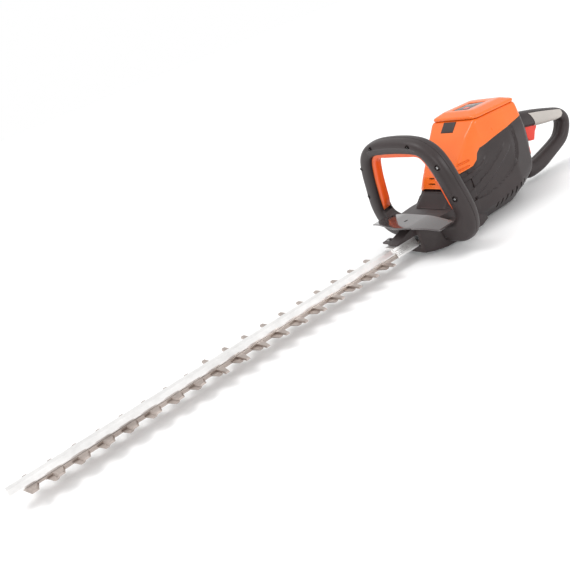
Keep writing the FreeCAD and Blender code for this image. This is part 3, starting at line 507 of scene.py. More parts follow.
def body_line(x):
    """The left half of the body's cross-section at x, from the keel up to the top centre."""
    low, low_half, wide, wide_low, wide_high, top_half, top = body_row(x)
    corners = [(0.0, low), (low_half, low), (wide, wide_low), (wide, wide_high), (top_half, top), (0.0, top)]
    return fillet(corners, (11.0, 12.0, 9.0, 5.0), 9)


def cut_line(line, low_z, high_z, count):
    """Evenly spaced points on a section line between two heights on its way up."""
    steps = np.linalg.norm(np.diff(line, axis=0), axis=1)
    reach = np.concatenate([[0.0], np.cumsum(steps)])

    def crossing(height):
        for i in range(len(line) - 1):
            if line[i][1] <= height < line[i + 1][1]:
                t = (height - line[i][1]) / (line[i + 1][1] - line[i][1])
                return reach[i] + t * (reach[i + 1] - reach[i])
        return reach[-1]

    start = 0.0 if low_z is None else crossing(low_z)
    end = reach[-1] if high_z is None else crossing(high_z)
    spots = np.linspace(start, end, count)
    return np.column_stack([np.interp(spots, reach, line[:, 0]), np.interp(spots, reach, line[:, 1])])


def line_distance(x, z, line):
    """Distance from points to a polyline, with the share of the way along it and the side."""
    best = np.full(x.shape, 1e9)
    along = np.zeros(x.shape)
    side = np.zeros(x.shape)
    for number, ((x1, z1), (x2, z2)) in enumerate(zip(line, line[1:])):
        length2 = (x2 - x1) ** 2 + (z2 - z1) ** 2
        t = np.clip(((x - x1) * (x2 - x1) + (z - z1) * (z2 - z1)) / length2, 0.0, 1.0)
        gap = np.hypot(x - x1 - t * (x2 - x1), z - z1 - t * (z2 - z1))
        closer = gap < best
        best = np.where(closer, gap, best)
        along = np.where(closer, (number + t) / (len(line) - 1), along)
        turn_side = (x2 - x1) * (z - z1) - (z2 - z1) * (x - x1)
        side = np.where(closer, np.sign(turn_side), side)
    return best, along, side


def step_down(value, start, end):
    """A smooth step from one at start to nought at end."""
    t = np.clip((value - start) / (end - start), 0.0, 1.0)
    return 1.0 - t * t * (3 - 2 * t)


def shell_relief(x, z):
    """How far the side of a shell stands out from its plain form, in millimetres."""
    gap, along, side = line_distance(x, z, PANEL_EDGE)
    inside = side > 0
    panel = np.where(inside, 1.0 - step_down(gap, 0.0, 2.5), 0.0)
    relief = -2.2 * panel
    slit_room = step_down(np.abs(z - 101.0), 24.0, 30.0)
    relief -= 2.2 * step_down(gap, 1.2, 2.6) * slit_room * (along < 0.5)
    relief -= 1.8 * step_down(gap, 0.6, 1.5) * (along >= 0.5)
    ribbon_gap, ribbon_along, _ = line_distance(x, z, RIBBON)
    ribbon = step_down(ribbon_gap, 6.0, 7.6) * step_down(ribbon_along, 0.75, 1.0)
    relief += 2.4 * ribbon
    ridge_gap, ridge_along, _ = line_distance(x, z, RIDGE)
    relief += 2.0 * step_down(ridge_gap, 2.6, 3.8) * step_down(ridge_along, 0.7, 1.0)
    return relief


HOOD_SLITS = [[(94.0, 106.5), (61.0, 111.0)], [(92.0, 99.5), (64.0, 103.0)]]


def hood_relief(x, z):
    """Two long slits low on each side of the hood."""
    relief = np.zeros(x.shape)
    for line in HOOD_SLITS:
        gap, _, _ = line_distance(x, z, line)
        relief -= 1.8 * step_down(gap, 0.9, 1.7)
    return relief


def surface_mesh(name, grid):
    """A grid of points as a sheet of quads, in metres."""
    rows, columns = grid.shape[:2]
    faces = []
    for i in range(rows - 1):
        for j in range(columns - 1):
            a = i * columns + j
            faces.append((a, a + 1, a + columns + 1, a + columns))
    mesh = bpy.data.meshes.new(name)
    mesh.from_pydata([tuple(p) for p in (grid.reshape(-1, 3) * MM)], [], faces)
    return mesh


def side_sheet(xs, low_of, high_of, count, hand, relief, inset=0.0):
    """One side of the body between two heights, with its relief, as a grid of points."""
    grid = np.zeros((len(xs), count, 3))
    for i, x in enumerate(xs):
        line = cut_line(body_line(x), low_of(x), high_of(x), count)
        grid[i, :, 0] = x
        grid[i, :, 1] = line[:, 0]
        grid[i, :, 2] = line[:, 1]
    if relief is not None:
        ahead = np.gradient(grid, axis=0)
        up = np.gradient(grid, axis=1)
        normal = np.cross(ahead, up)
        normal /= np.maximum(np.linalg.norm(normal, axis=2, keepdims=True), 1e-9)
        normal *= np.sign(normal[:, :, 1:2] + 1e-9)
        share = np.clip((normal[:, :, 1:2] - 0.35) / 0.3, 0.0, 1.0)
        grid = grid + normal * share * relief(grid[:, :, 0], grid[:, :, 2])[:, :, None]
    grid[:, :, 1] = grid[:, :, 1] * hand + hand * inset
    return grid if hand > 0 else grid[:, ::-1]


def walled(thing, thickness):
    """Gives a sheet its wall, inwards from the outer skin."""
    wall = thing.modifiers.new("wall", "SOLIDIFY")
    wall.thickness = thickness
    wall.offset = -1.0
    wall.use_even_offset = False
    return baked(thing)


BODY_AXIS_Z = 70.0 * MM


def outward(mesh):
    """Makes a sheet's faces point away from the body's axis."""
    work = bmesh.new()
    work.from_mesh(mesh)
    total = 0.0
    for face in work.faces:
        middle = face.calc_center_median()
        away = Vector((0.0, middle.y, middle.z - BODY_AXIS_Z))
        total += away.dot(face.normal) * face.calc_area()
    if total < 0:
        bmesh.ops.reverse_faces(work, faces=work.faces)
    work.to_mesh(mesh)
    work.free()


def seam_z(x):
    xs = [p[0] for p in reversed(SEAM)]
    zs = [p[1] for p in reversed(SEAM)]
    return float(np.interp(x, xs, zs))


COWL_X = 70.0
HOUSING_TOP = 56.6


def shell_top(x):
    return seam_z(x) - 0.35 if x <= COWL_X else HOUSING_TOP - 0.6


def slot_cutters():
    """Seven leaning slots low at the back of the body, as one mesh that cuts both sides."""
    work = bmesh.new()
    for number in range(7):
        high = Vector((-34.0 + 10.4 * number, 0.0, 40.0 - 2.1 * number))
        low = Vector((-38.2 + 10.3 * number, 0.0, max(26.5 - 2.0 * number, 16.0)))
        lean = (high - low).normalized()
        wide = Vector((lean.z, 0.0, -lean.x)) * 1.7
        corners = [low - wide, low + wide, high + wide, high - wide]
        near = [work.verts.new((p + Vector((0, -80, 0))) * MM) for p in corners]
        far = [work.verts.new((p + Vector((0, 80, 0))) * MM) for p in corners]
        work.faces.new(near)
        work.faces.new(far[::-1])
        for i in range(4):
            j = (i + 1) % 4
            work.faces.new((near[j], near[i], far[i], far[j]))
    return finished(work, "slot_cutters")


def end_wall(edge):
    """Rows that close the body's rear end, drawn in from its edge to behind the flange."""
    rows = []
    for share in (0.15, 0.4, 0.65, 0.85, 0.96):
        row = edge.copy()
        row[:, 1] *= share
        row[:, 2] = 66.0 + (row[:, 2] - 66.0) * share
        rows.append(row)
    return np.array(rows)


slots = slot_cutters()
shell_xs = np.concatenate([np.linspace(-89.0, COWL_X, 140), np.linspace(COWL_X + 0.01, 111.0, 24)])
for hand, label in ((1, "left"), (-1, "right")):
    grid = side_sheet(shell_xs, lambda x: None, shell_top, 110, hand, shell_relief, 0.06)
    grid = np.concatenate([end_wall(grid[0]), grid])
    shell = link(f"shell_{label}", surface_mesh(f"shell_{label}", grid))
    outward(shell.data)
    walled(shell, 2.4 * MM)
    carve(shell, slots)
    sharpen(shell.data, 32.0)
    settle(shell, dark_plastic, "dark_plastic", "housing", f"body_shell_{label}")
bpy.data.objects.remove(slots)


def whole_sheet(xs, low_of, high_of, count, relief):
    """Both sides of the body joined across the top centre."""
    left = side_sheet(xs, low_of, high_of, count, 1, relief)
    right = side_sheet(xs, low_of, high_of, count, -1, relief)
    return np.concatenate([left, right[:, 1:]], axis=1)


cowl_xs = np.concatenate([np.linspace(COWL_X + 0.1, 90.5, 16), np.linspace(91.0, 100.0, 28),
                          np.linspace(101.0, 130.0, 24)])
cowl_grid = whole_sheet(cowl_xs, lambda x: HOUSING_TOP, lambda x: seam_z(x) - 0.35, 50, shell_relief)
cowl_front = link("cowl_moulding", surface_mesh("cowl_moulding", cowl_grid))
outward(cowl_front.data)
walled(cowl_front, 2.4 * MM)
sharpen(cowl_front.data, 32.0)
settle(cowl_front, dark_plastic, "dark_plastic", "housing", "front_cowl")

orange_plastic = moulded("orange_plastic", (0.78, 0.13, 0.008), (0.84, 0.155, 0.012), (0.95, 0.3, 0.08),
                         0.26, 0.34, 1200.0, 0.00002, 0.3, 0.4)
hood_xs = np.concatenate([np.linspace(-79.0, -64.0, 18), np.linspace(-63.0, 22.0, 70),
                          np.linspace(23.0, 88.0, 66), np.linspace(88.5, 98.0, 14)])
hood_grid = whole_sheet(hood_xs, lambda x: seam_z(x) + 0.35, lambda x: None, 90, hood_relief)
hood = link("hood_moulding", surface_mesh("hood_moulding", hood_grid))
outward(hood.data)
walled(hood, 2.4 * MM)


def closed_block(name, corners):
    """A closed eight-cornered block, as a mesh for cutting."""
    work = bmesh.new()
    made = [work.verts.new(Vector(p) * MM) for p in corners]
    for ring in ((0, 3, 2, 1), (4, 5, 6, 7), (0, 1, 5, 4), (1, 2, 6, 5), (2, 3, 7, 6), (3, 0, 4, 7)):
        work.faces.new([made[i] for i in ring])
    return finished(work, name)


def flat_block(name, low, high):
    (x1, y1, z1), (x2, y2, z2) = low, high
    return closed_block(name, [(x1, y1, z1), (x2, y1, z1), (x2, y2, z1), (x1, y2, z1),
                               (x1, y1, z2), (x2, y1, z2), (x2, y2, z2), (x1, y2, z2)])


for low, high in (((-60.2, -42.2, 130.0), (22.2, 42.2, 200.0)),
                  ((84.0, 2.5, 92.4), (110.0, 18.0, 94.6)), ((84.0, -18.0, 92.4), (110.0, -2.5, 94.6)),
                  ((84.0, 2.5, 84.8), (110.0, 18.0, 87.0)), ((84.0, -18.0, 84.8), (110.0, -2.5, 87.0))):
    cut_away(hood, flat_block("cutter", low, high))
slope_at = Vector((35.6, -4.0, 157.0))
slope_along = Vector((0.697, 0.0, -0.717))
slope_out = Vector((0.717, 0.0, 0.697))
across = Vector((0.0, 1.0, 0.0))


def slope_block(name, long, wide, low, high):
    """A block set square to the hood's front slope."""
    corners = []
    for rise in (low, high):
        for a, b in ((-1, -1), (1, -1), (1, 1), (-1, 1)):
            corners.append(slope_at + slope_along * a * long / 2 + across * b * wide / 2 + slope_out * rise)
    return closed_block(name, corners)


cut_away(hood, slope_block("cutter", 19.0, 27.0, -9.0, 9.0))
sharpen(hood.data, 30.0)
settle(hood, orange_plastic, "orange_plastic", "housing", "hood")

# ---------------------------------------------------------------- battery release button
# A dark button as wide as a thumb sits flush in the hood's front slope. It is pressed in
# to free the battery.
button = slope_block("release_button", 18.0, 26.0, -3.0, 0.7)
rounding = button.modifiers.new("rounding", "BEVEL")
rounding.width = 1.0 * MM
rounding.segments = 4
baked(button)
sharpen(button.data, 40.0)
settle(button, dark_plastic, "dark_plastic", "release_button", "battery_button")

# ---------------------------------------------------------------- battery lid and panel
# The battery's orange lid is a low crowned moulding with rounded corners. Its middle is
# sunk for a grey panel with a charge gauge and a red test button.
LID_CENTRE_X, LID_LOW_Z, LID_SLOPE = -20.0, 164.7, 5.0 / 96.0
LID_RINGS = [
    # inset from the lid's edge, height above its underside, corner radius
    (6.0, 0.0, 6.0), (1.6, 0.0, 9.0), (0.5, 0.4, 9.6), (0.0, 1.3, 10.0), (0.0, 3.0, 10.0), (0.3, 3.9, 9.9),
    (1.2, 4.8, 9.5), (3.0, 5.7, 9.0), (6.0, 7.0, 8.5), (9.5, 8.7, 8.0), (12.5, 10.0, 7.0), (14.0, 10.5, 6.5),
    (16.0, 10.8, 6.0), (18.5, 10.9, 5.0),
]


def rounded_ring(centre_x, half_x, half_y, corner, z, count=24):
    """A rounded rectangle lying in the lid's slope, as a loop of points."""
    loop = []
    for quadrant in range(4):
        start = quadrant * math.pi / 2
        cx = (half_x - corner) * (1 if quadrant in (0, 3) else -1)
        cy = (half_y - corner) * (1 if quadrant in (0, 1) else -1)
        for t in np.linspace(start, start + math.pi / 2, count):
            x = centre_x + cx + corner * math.cos(t)
            loop.append((x, cy + corner * math.sin(t), z - LID_SLOPE * (28.0 - x)))
    return loop


def skinned(name, sections, ring=False):
    """Sections of equal count joined into a closed skin, its ends filled or met in a ring."""
    work = bmesh.new()
    made = [[work.verts.new(Vector(p) * MM) for p in section] for section in sections]
    count = len(made[0])
    pairs = list(zip(made, made[1:]))
    if ring:
        pairs.append((made[-1], made[0]))
    for lower, upper in pairs:
        for i in range(count):
            j = (i + 1) % count
            work.faces.new((lower[i], lower[j], upper[j], upper[i]))
    if not ring:
        work.faces.new(made[0][::-1])
        work.faces.new(made[-1])
    return finished(work, name)


lid_rings = [rounded_ring(LID_CENTRE_X, 48.0 - inset, 46.5 - inset, corner, LID_LOW_Z + rise)
             for inset, rise, corner in LID_RINGS]
lid_rings.append(rounded_ring(-14.0, 22.2, 18.2, 2.6, LID_LOW_Z + 10.9))
lid_rings.append(rounded_ring(-14.0, 21.5, 17.5, 2.2, LID_LOW_Z + 10.6))
lid_rings.append(rounded_ring(-14.0, 21.1, 17.1, 2.0, LID_LOW_Z + 9.6))
lid = skinned("lid_moulding", lid_rings)
sharpen(lid.data, 38.0)
settle(lid, orange_plastic, "orange_plastic", "battery", "battery_lid")

panel_grey = moulded("panel_grey", (0.05, 0.042, 0.044), (0.065, 0.055, 0.058), (0.12, 0.1, 0.1), 0.2, 0.28,
                     900.0, 0.00001, 0.5)
PANEL_Z = LID_LOW_Z + 10.1
panel = skinned("gauge_panel", [rounded_ring(-14.0, 20.6, 16.6, 1.8, PANEL_Z - 0.8),
                                rounded_ring(-14.0, 20.6, 16.6, 1.8, PANEL_Z - 0.2),
                                rounded_ring(-14.0, 20.3, 16.3, 1.6, PANEL_Z)])
sharpen(panel.data, 40.0)
settle(panel, panel_grey, "panel_grey", "battery", "battery_panel")
gauge_white = moulded("gauge_white", (0.3, 0.29, 0.28), (0.38, 0.37, 0.36), (0.5, 0.49, 0.48), 0.25, 0.35,
                      900.0, 0.00001, 0.4)
red_plastic = moulded("red_plastic", (0.68, 0.03, 0.012), (0.76, 0.042, 0.018), (0.9, 0.2, 0.12), 0.28,
                      0.36, 1100.0, 0.00002, 0.15, 0.35)


def panel_pad(name, x, y, long, wide, material, slot):
    """A low pad on the panel, set parallel to its face."""
    corners = []
    for rise in (-0.2, 0.45):
        for a, b in ((-1, -1), (1, -1), (1, 1), (-1, 1)):
            px = x + a * long / 2
            corners.append((px, y + b * wide / 2, PANEL_Z + rise - LID_SLOPE * (28.0 - px)))
    pad = closed_block(name, corners)
    sharpen(pad.data, 30.0)
    return settle(pad, material, slot, "battery")


for number in range(4):
    panel_pad(f"gauge_light_{number + 1}", -22.0, -12.0 + 5.0 * number, 7.0, 2.6, gauge_white, "panel_grey")
panel_pad("gauge_button", -5.0, 4.0, 7.5, 9.0, red_plastic, "red_plastic")

# ---------------------------------------------------------------- front loop
# The front handle is a hoop of two dark half shells, front and rear, screwed together. A
# channel runs round its inner side for the orange switch bar.
LOOP_PAIRS = [
    # inner y, z and outer y, z, from the left foot up to the top
    (46.0, 44.0, 44.0, 10.5), (60.0, 46.0, 62.0, 10.5), (70.0, 49.0, 78.0, 12.0), (77.5, 54.0, 92.0, 18.5),
    (80.5, 60.5, 102.5, 30.0), (80.3, 68.0, 108.5, 47.0), (79.2, 76.0, 109.8, 67.0), (77.2, 88.0, 107.0, 86.0),
    (74.2, 103.0, 103.0, 104.0), (70.5, 119.0, 99.0, 122.0), (66.0, 134.0, 93.5, 140.0),
    (60.5, 148.0, 85.5, 156.5), (53.5, 156.5, 74.0, 169.0), (43.0, 160.4, 58.0, 178.5),
    (28.0, 161.4, 36.0, 183.8), (10.0, 162.0, 12.0, 185.6),
]
SPLIT_X, LOOP_DEEP, CHANNEL_HALF, CHANNEL_DEEP = 150.5, 14.5, 7.5, 8.0
LEAN = math.radians(6.5)


def spline_point(a, b, c, d, t):
    """The point at share t of the way from b to c, on a smooth line through all four."""
    return 0.5 * (2 * b + (c - a) * t + (2 * a - 5 * b + 4 * c - d) * t ** 2
                  + (3 * b - a - 3 * c + d) * t ** 3)


def catmull(points, count):
    """A smooth line through points, with evenly numbered samples."""
    points = np.array(points, float)
    padded = np.vstack([2 * points[0] - points[1], points, 2 * points[-1] - points[-2]])
    line = []
    for u in np.linspace(0, len(points) - 1, count):
        i = min(int(u), len(points) - 2)
        t = u - i
        a, b, c, d = padded[i:i + 4]
        line.append(spline_point(a, b, c, d, t))
    return np.array(line)


half_loop = np.array(LOOP_PAIRS)
other_half = half_loop[::-1] * np.array([-1, 1, -1, 1])
loop_stations = catmull(np.vstack([half_loop, other_half]), 241)


def lean_over(points):
    """Tips points forward about the loop's top, as the whole loop leans."""
    points = np.array(points, float)
    x, z = points[..., 0] - 165.0, points[..., 2] - 170.0
    points[..., 0] = 165.0 + x * math.cos(LEAN) + z * math.sin(LEAN)
    points[..., 2] = 170.0 - x * math.sin(LEAN) + z * math.cos(LEAN)
    return points


def rounded_reach(share, power):
    """How far a rounded section reaches, as a share of its half width."""
    return (1.0 - min(abs(share), 1.0) ** power) ** (1.0 / power)


LOOP_POWER = 2.7


def loop_point(station, forward, radial):
    """A point of the loop: forward from the split plane, radial from the section's middle."""
    inner, outer = station[0:2], station[2:4]
    middle = (inner + outer) / 2
    away = (outer - inner) / np.linalg.norm(outer - inner)
    y, z = middle + away * radial
    return (SPLIT_X + forward, y, z)


def loop_half_section(station, hand):
    """One half shell's section: round the outside, into the channel and up the joint."""
    half = np.linalg.norm(station[2:4] - station[0:2]) / 2
    deep = CHANNEL_DEEP * float(np.clip((station[1] - 57.0) / 3.0, 0.002, 1.0))
    outline = [(0.15, half - 0.7), (0.7, half - 0.02)]
    top = math.acos((1.2 / LOOP_DEEP) ** (LOOP_POWER / 2))
    lip = -math.acos(((CHANNEL_HALF + 0.6) / LOOP_DEEP) ** (LOOP_POWER / 2))
    for angle in np.linspace(top, lip, 26):
        forward = LOOP_DEEP * abs(math.cos(angle)) ** (2 / LOOP_POWER)
        radial = half * math.copysign(abs(math.sin(angle)) ** (2 / LOOP_POWER), angle)
        outline.append((forward, radial))
    lip_radial = outline[-1][1]
    outline += [(CHANNEL_HALF + 0.1, lip_radial - 0.1), (CHANNEL_HALF, lip_radial + 0.5),
                (CHANNEL_HALF, lip_radial + deep), (0.15, lip_radial + deep + 0.01)]
    return [loop_point(station, hand * forward, radial) for forward, radial in outline]


LOOP_SCREWS = [(42.0, 174.0), (87.0, 141.0), (98.0, 90.0)]
lean_out = (math.cos(LEAN), 0.0, -math.sin(LEAN))


def counterbores(radius, depth, count=28):
    """Round cutters for the six screw recesses, square to the leaning front face."""
    work = bmesh.new()
    for y, z in LOOP_SCREWS:
        for hand in (1, -1):
            rings = []
            for x in (165.0 - depth, 172.0):
                turns = [2 * math.pi * k / count for k in range(count)]
                ring = [(x, hand * y + radius * math.cos(t), z + radius * math.sin(t)) for t in turns]
                rings.append([work.verts.new(Vector(p) * MM) for p in lean_over(ring)])
            for k in range(count):
                j = (k + 1) % count
                work.faces.new((rings[0][k], rings[0][j], rings[1][j], rings[1][k]))
            work.faces.new(rings[0][::-1])
            work.faces.new(rings[1])
    return finished(work, "counterbores")


bores = counterbores(4.7, 3.4)
for hand, label in ((1, "front"), (-1, "rear")):
    sections = [lean_over(loop_half_section(station, hand)) for station in loop_stations]
    half_shell = skinned(f"loop_{label}_half", sections)
    if label == "front":
        carve(half_shell, bores)
    sharpen(half_shell.data, 35.0)
    settle(half_shell, dark_plastic, "dark_plastic", "housing", f"loop_{label}")

bpy.data.objects.remove(bores)

# ---------------------------------------------------------------- ribbed band
# The top of the loop's front half carries a soft band for the fingers, moulded on to it.
# Fine ribs run across the band, so that a gloved hand doesn't slip.
dark_grip = moulded("dark_grip", (0.05, 0.043, 0.043), (0.065, 0.057, 0.057), (0.1, 0.09, 0.09), 0.55, 0.68,
                    1000.0, 0.00006)


def band_sections():
    """Sections of the band, each a thin strip over the front face, ribbed along its length."""
    sections = []
    band_half = 47.0
    lines = [station for station in loop_stations if station[3] > 150.0 and abs(station[0]) < 52.0]
    reach = np.array([station[0] for station in lines])
    for y in np.linspace(band_half, -band_half, 331):
        station = np.array([np.interp(-y, -reach, [line[k] for line in lines]) for k in range(4)])
        half = np.linalg.norm(station[2:4] - station[0:2]) / 2
        rib = 0.5 * (0.5 + 0.5 * math.cos(2 * math.pi * y / 2.2))
        edge = step_down(np.array(abs(y)), band_half - 1.5, band_half)
        strip = []
        for share in np.linspace(0.16, -0.9, 16):
            fade = min(1.0, (0.16 - share) / 0.08, (share + 0.9) / 0.08)
            rise = (0.45 + rib) * max(fade, 0.0) * float(edge) - 0.15
            forward = LOOP_DEEP * rounded_reach(share, LOOP_POWER)
            strip.append((forward + rise, share * half))
        inside = [(forward - 1.0, radial) for forward, radial in strip[::-1]]
        sections.append(lean_over([loop_point(station, f, r) for f, r in strip + inside]))
    return sections


band = skinned("ribbed_band", band_sections())
sharpen(band.data, 60.0)
settle(band, dark_grip, "dark_grip", "housing", "loop_grip_band")

# ---------------------------------------------------------------- front switch bar
# The orange bar lies in the loop's channel all the way round, so that a grip anywhere
# presses it. It is a smooth moulding with a rounded inner face.
orange_switch = moulded("orange_switch", (0.76, 0.085, 0.006), (0.82, 0.105, 0.01), (0.95, 0.26, 0.09), 0.36,
                        0.46, 1200.0, 0.00003, 0.15)


def bar_section(station, taper):
    """The bar's section: a slab in the channel with a rounded face standing out of it."""
    half = np.linalg.norm(station[2:4] - station[0:2]) / 2
    wide = 6.8
    base = -half + 3.0
    front = -half - 7.8 * taper
    outline = [(wide, base)]
    for angle in np.linspace(0.0, math.pi, 15):
        forward = wide * math.copysign(abs(math.cos(angle)) ** 0.7, math.cos(angle))
        outline.append((forward, front + 4.0 * taper * (1.0 - abs(math.sin(angle)) ** 0.7)))
    outline.append((-wide, base))
    return [loop_point(station, forward, radial) for forward, radial in outline]


bar_stations = [station for station in loop_stations if station[1] > 62.0]
sections = []
for number, station in enumerate(bar_stations):
    near_end = min(number, len(bar_stations) - 1 - number)
    taper = 0.55 + 0.45 * math.sin(min(near_end / 5, 1) * math.pi / 2)
    sections.append(lean_over(bar_section(station, taper)))
switch_bar = skinned("switch_bar", sections)
sharpen(switch_bar.data, 45.0)
settle(switch_bar, orange_switch, "orange_switch", "switch_bar", "front_switch_bar")

# ---------------------------------------------------------------- rear handle
# The D-shaped rear handle is two dark halves joined on the middle plane. It is rounded
# all the way round and swivels on the flange behind the body.
HANDLE_PAIRS = [
    # outer x, z and inner x, z, round the ring from the middle of its front column
    (-93.0, 66.0, -105.5, 66.0), (-93.0, 94.0, -105.5, 88.0), (-93.6, 112.0, -107.0, 95.0),
    (-99.0, 122.0, -113.0, 95.5), (-115.0, 124.0, -122.0, 93.6), (-140.0, 118.6, -138.0, 90.0),
    (-165.0, 111.6, -158.0, 85.4), (-190.0, 103.6, -180.0, 81.2), (-208.0, 97.0, -196.0, 78.4),
    (-220.0, 88.0, -204.5, 75.6), (-226.6, 76.0, -208.2, 71.2), (-226.4, 63.0, -207.0, 65.4),
    (-221.5, 50.0, -202.5, 59.0), (-213.0, 38.6, -196.0, 52.8), (-200.0, 30.4, -186.0, 48.6),
    (-172.0, 20.8, -164.0, 42.8), (-146.0, 12.4, -138.0, 37.2), (-124.0, 9.2, -119.0, 34.8),
    (-103.0, 10.0, -109.5, 36.0), (-94.4, 19.0, -105.8, 41.0), (-93.0, 40.0, -105.5, 52.0),
]
HANDLE_HALF = 14.0
HANDLE_POWER = 2.5


def catmull_ring(points, count):
    """A smooth closed line through points."""
    points = np.array(points, float)
    total = len(points)
    line = []
    for u in np.linspace(0, total, count, endpoint=False):
        i = int(u)
        t = u - i
        a, b, c, d = (points[(i + k) % total] for k in (-1, 0, 1, 2))
        line.append(spline_point(a, b, c, d, t))
    return np.array(line)


handle_stations = catmull_ring(HANDLE_PAIRS, 240)


def handle_point(station, sideways, radial):
    outer, inner = station[0:2], station[2:4]
    middle = (inner + outer) / 2
    away = (outer - inner) / np.linalg.norm(outer - inner)
    x, z = middle + away * radial
    return (x, sideways, z)


def handle_section(station, hand):
    """Half of the handle's rounded section, closed along the middle plane."""
    half = np.linalg.norm(station[2:4] - station[0:2]) / 2
    outline = [(0.12, half - 0.5)]
    for angle in np.linspace(math.pi / 2 - 0.05, -math.pi / 2 + 0.05, 25):
        sideways = (HANDLE_HALF - 0.1) * abs(math.cos(angle)) ** (2 / HANDLE_POWER)
        radial = half * math.copysign(abs(math.sin(angle)) ** (2 / HANDLE_POWER), angle)
        outline.append((max(sideways, 0.12), radial))
    outline.append((0.12, -half + 0.5))
    return [handle_point(station, hand * sideways, radial) for sideways, radial in outline]


for hand, label in ((1, "left"), (-1, "right")):
    sections = [handle_section(station, hand) for station in handle_stations]
    half_shell = skinned(f"handle_half_{label}", sections, ring=True)
    for low, high in (((-150.0, -6.6, 70.0), (-113.0, 6.6, 100.0)),
                      ((-114.0, -5.5, 45.6), (-98.0, 5.5, 62.4))):
        cut_away(half_shell, flat_block("cutter", low, high))
    sharpen(half_shell.data, 35.0)
    settle(half_shell, dark_plastic, "dark_plastic", "rear_handle", f"handle_{label}")

# ---------------------------------------------------------------- soft grips
# Pale soft grips are moulded on both flanks of the handle's top bar, where the hand
# closes on it. They stand a little proud of the dark plastic.
grey_grip = moulded("grey_grip", (0.42, 0.39, 0.36), (0.5, 0.465, 0.43), (0.56, 0.52, 0.48), 0.5, 0.62,
                    1300.0, 0.00004)


def grip_patch(hand):
    """Sections of one grip: a strip over the handle's flank, held just proud of it."""
    top_bar = [s for s in handle_stations[20:130] if s[1] > s[3] and -214.5 < s[0] < -127.0]
    sections = []
    total = len(top_bar)
    for number, station in enumerate(top_bar):
        half = np.linalg.norm(station[2:4] - station[0:2]) / 2
        share = number / (total - 1)
        high = 0.62 * min(1.0, (1.0 - share) * 9 + 0.15)
        low = -0.97 + 0.5 * max(0.0, share - 0.88) / 0.12
        start = 0.62 - 1.6 * min(1.0, share / 0.16)
        if share < 0.16:
            low = max(low, start)
            high = max(high, low + 0.05)
        outline = []
        for r in np.linspace(high, low, 22):
            sideways = HANDLE_HALF * rounded_reach(r, HANDLE_POWER)
            outline.append((sideways + 0.35, r * half * 1.03))
        back = [(max(s - 1.2, 0.2), r * 0.96) for s, r in outline[::-1]]
        sections.append([handle_point(station, hand * s, r) for s, r in outline + back])
    return sections


patches = []
for hand in (1, -1):
    patches.append(skinned(f"grip_{hand + 1}", grip_patch(hand)))
work = bmesh.new()
for patch in patches:
    work.from_mesh(patch.data)
grip_mesh = bpy.data.meshes.new("soft_grips")
work.to_mesh(grip_mesh)
work.free()
for patch in patches:
    bpy.data.objects.remove(patch)
grips = link("soft_grips", grip_mesh)
sharpen(grips.data, 50.0)
settle(grips, grey_grip, "grey_grip", "rear_handle", "handle_grips")

# ---------------------------------------------------------------- trigger and swivel button
# The trigger hangs under the front of the top bar, and the swivel's release button stands
# out of the front column. Both are glossy red mouldings with rounded edges.
trigger = rounded_copy("trigger_moulding", "trigger", 1.6 * MM, 4)
settle(trigger, red_plastic, "red_plastic", "trigger", "trigger")
swivel_button = rounded_copy("swivel_button_moulding", "swivel_button", 2.4 * MM, 5)
settle(swivel_button, red_plastic, "red_plastic", "swivel_lock", "swivel_button")

# ---------------------------------------------------------------- screws
# Zinc-plated pan heads with a cross recess. Six of the loop's sit in dark counterbores and
# two hold its feet. The others hold the handle's halves and the housing's lug.


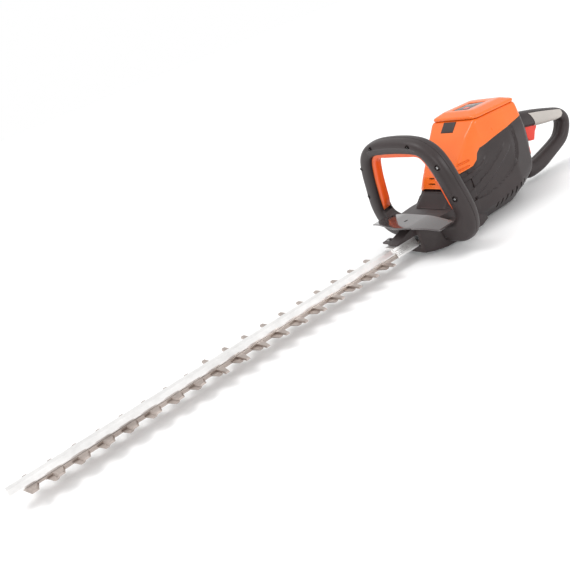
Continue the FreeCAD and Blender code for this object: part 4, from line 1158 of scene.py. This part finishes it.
def screw_tree():
    """Geometry Nodes that put a cross-recessed head on every point, facing along it."""
    tree = bpy.data.node_groups.new("screw_heads", "GeometryNodeTree")
    tree.interface.new_socket("Geometry", in_out="INPUT", socket_type="NodeSocketGeometry")
    for label, kind in (("Radius", "NodeSocketFloat"), ("Height", "NodeSocketFloat"),
                        ("Material", "NodeSocketMaterial")):
        tree.interface.new_socket(label, in_out="INPUT", socket_type=kind)
    tree.interface.new_socket("Geometry", in_out="OUTPUT", socket_type="NodeSocketGeometry")
    nodes, links = tree.nodes, tree.links
    given = nodes.new("NodeGroupInput")
    out = nodes.new("NodeGroupOutput")
    head = nodes.new("GeometryNodeMeshCylinder")
    head.inputs["Vertices"].default_value = 32
    links.new(given.outputs["Radius"], head.inputs["Radius"])
    links.new(given.outputs["Height"], head.inputs["Depth"])
    carve_node = nodes.new("GeometryNodeMeshBoolean")
    carve_node.operation = "DIFFERENCE"
    links.new(head.outputs["Mesh"], carve_node.inputs["Mesh 1"])
    bars = nodes.new("GeometryNodeJoinGeometry")
    for angle in (0.0, math.pi / 2):
        size = nodes.new("ShaderNodeCombineXYZ")
        for axis, factor in (("X", 1.15), ("Y", 0.3)):
            scaled = nodes.new("ShaderNodeMath")
            scaled.operation = "MULTIPLY"
            scaled.inputs[1].default_value = factor
            links.new(given.outputs["Radius"], scaled.inputs[0])
            links.new(scaled.outputs[0], size.inputs[axis])
        links.new(given.outputs["Height"], size.inputs["Z"])
        bar = nodes.new("GeometryNodeMeshCube")
        links.new(size.outputs[0], bar.inputs["Size"])
        lift = nodes.new("ShaderNodeCombineXYZ")
        links.new(given.outputs["Height"], lift.inputs["Z"])
        placed = nodes.new("GeometryNodeTransform")
        placed.inputs["Rotation"].default_value = (0.0, 0.0, angle)
        links.new(bar.outputs["Mesh"], placed.inputs["Geometry"])
        scaled = nodes.new("ShaderNodeVectorMath")
        scaled.operation = "SCALE"
        scaled.inputs["Scale"].default_value = 0.45
        links.new(lift.outputs[0], scaled.inputs[0])
        links.new(scaled.outputs[0], placed.inputs["Translation"])
        links.new(placed.outputs["Geometry"], bars.inputs["Geometry"])
    links.new(bars.outputs["Geometry"], carve_node.inputs["Mesh 2"])
    facing = nodes.new("GeometryNodeInputNamedAttribute")
    facing.data_type = "FLOAT_VECTOR"
    facing.inputs["Name"].default_value = "facing"
    align = nodes.new("FunctionNodeAlignRotationToVector")
    align.axis = "Z"
    links.new(facing.outputs["Attribute"], align.inputs["Vector"])
    heads = nodes.new("GeometryNodeInstanceOnPoints")
    links.new(given.outputs["Geometry"], heads.inputs["Points"])
    links.new(carve_node.outputs["Mesh"], heads.inputs["Instance"])
    links.new(align.outputs["Rotation"], heads.inputs["Rotation"])
    real = nodes.new("GeometryNodeRealizeInstances")
    links.new(heads.outputs["Instances"], real.inputs["Geometry"])
    paint = nodes.new("GeometryNodeSetMaterial")
    links.new(real.outputs["Geometry"], paint.inputs["Geometry"])
    links.new(given.outputs["Material"], paint.inputs["Material"])
    links.new(paint.outputs["Geometry"], out.inputs["Geometry"])
    return tree


screw_heads = screw_tree()


def screws(name, places, facing, radius, height, material, slot, body, *nodes):
    """Screw heads at places in millimetres, all facing one way."""
    mesh = bpy.data.meshes.new(name)
    mesh.from_pydata([tuple(np.array(p) * MM) for p in places], [], [])
    attribute = mesh.attributes.new("facing", "FLOAT_VECTOR", "POINT")
    attribute.data.foreach_set("vector", list(facing) * len(places))
    thing = link(name, mesh)
    modifier = thing.modifiers.new("heads", "NODES")
    modifier.node_group = screw_heads
    values = {"Radius": radius * MM, "Height": height * MM, "Material": material}
    for item in screw_heads.interface.items_tree:
        if item.in_out == "INPUT" and item.name in values:
            modifier[item.identifier] = values[item.name]
    baked(thing)
    sharpen(thing.data, 30.0)
    return settle(thing, material, slot, body, *nodes)


loop_places = [lean_over([(164.2, hand * y, z)])[0] for y, z in LOOP_SCREWS for hand in (1, -1)]
loop_places += [lean_over([(165.0, hand * 50.0, 24.0)])[0] for hand in (1, -1)]
screws("loop_screw_heads", loop_places, lean_out, 3.2, 2.4, screw_steel, "screw_steel", "housing",
       "loop_screws")
handle_places = [(-112.0, -14.2, 20.0), (-206.0, -13.8, 45.0), (-216.0, -13.8, 76.0),
                 (-112.0, -14.2, 112.0)]
screws("handle_screw_heads", handle_places, (0.0, -1.0, 0.0), 2.8, 1.6, screw_steel, "screw_steel",
       "rear_handle", "handle_screws")
screws("nose_screw_head", [(201.0, -19.0, 39.4)], (0.0, 0.0, 1.0), 3.4, 2.2, screw_steel,
       "screw_steel", "housing", "nose_screw")
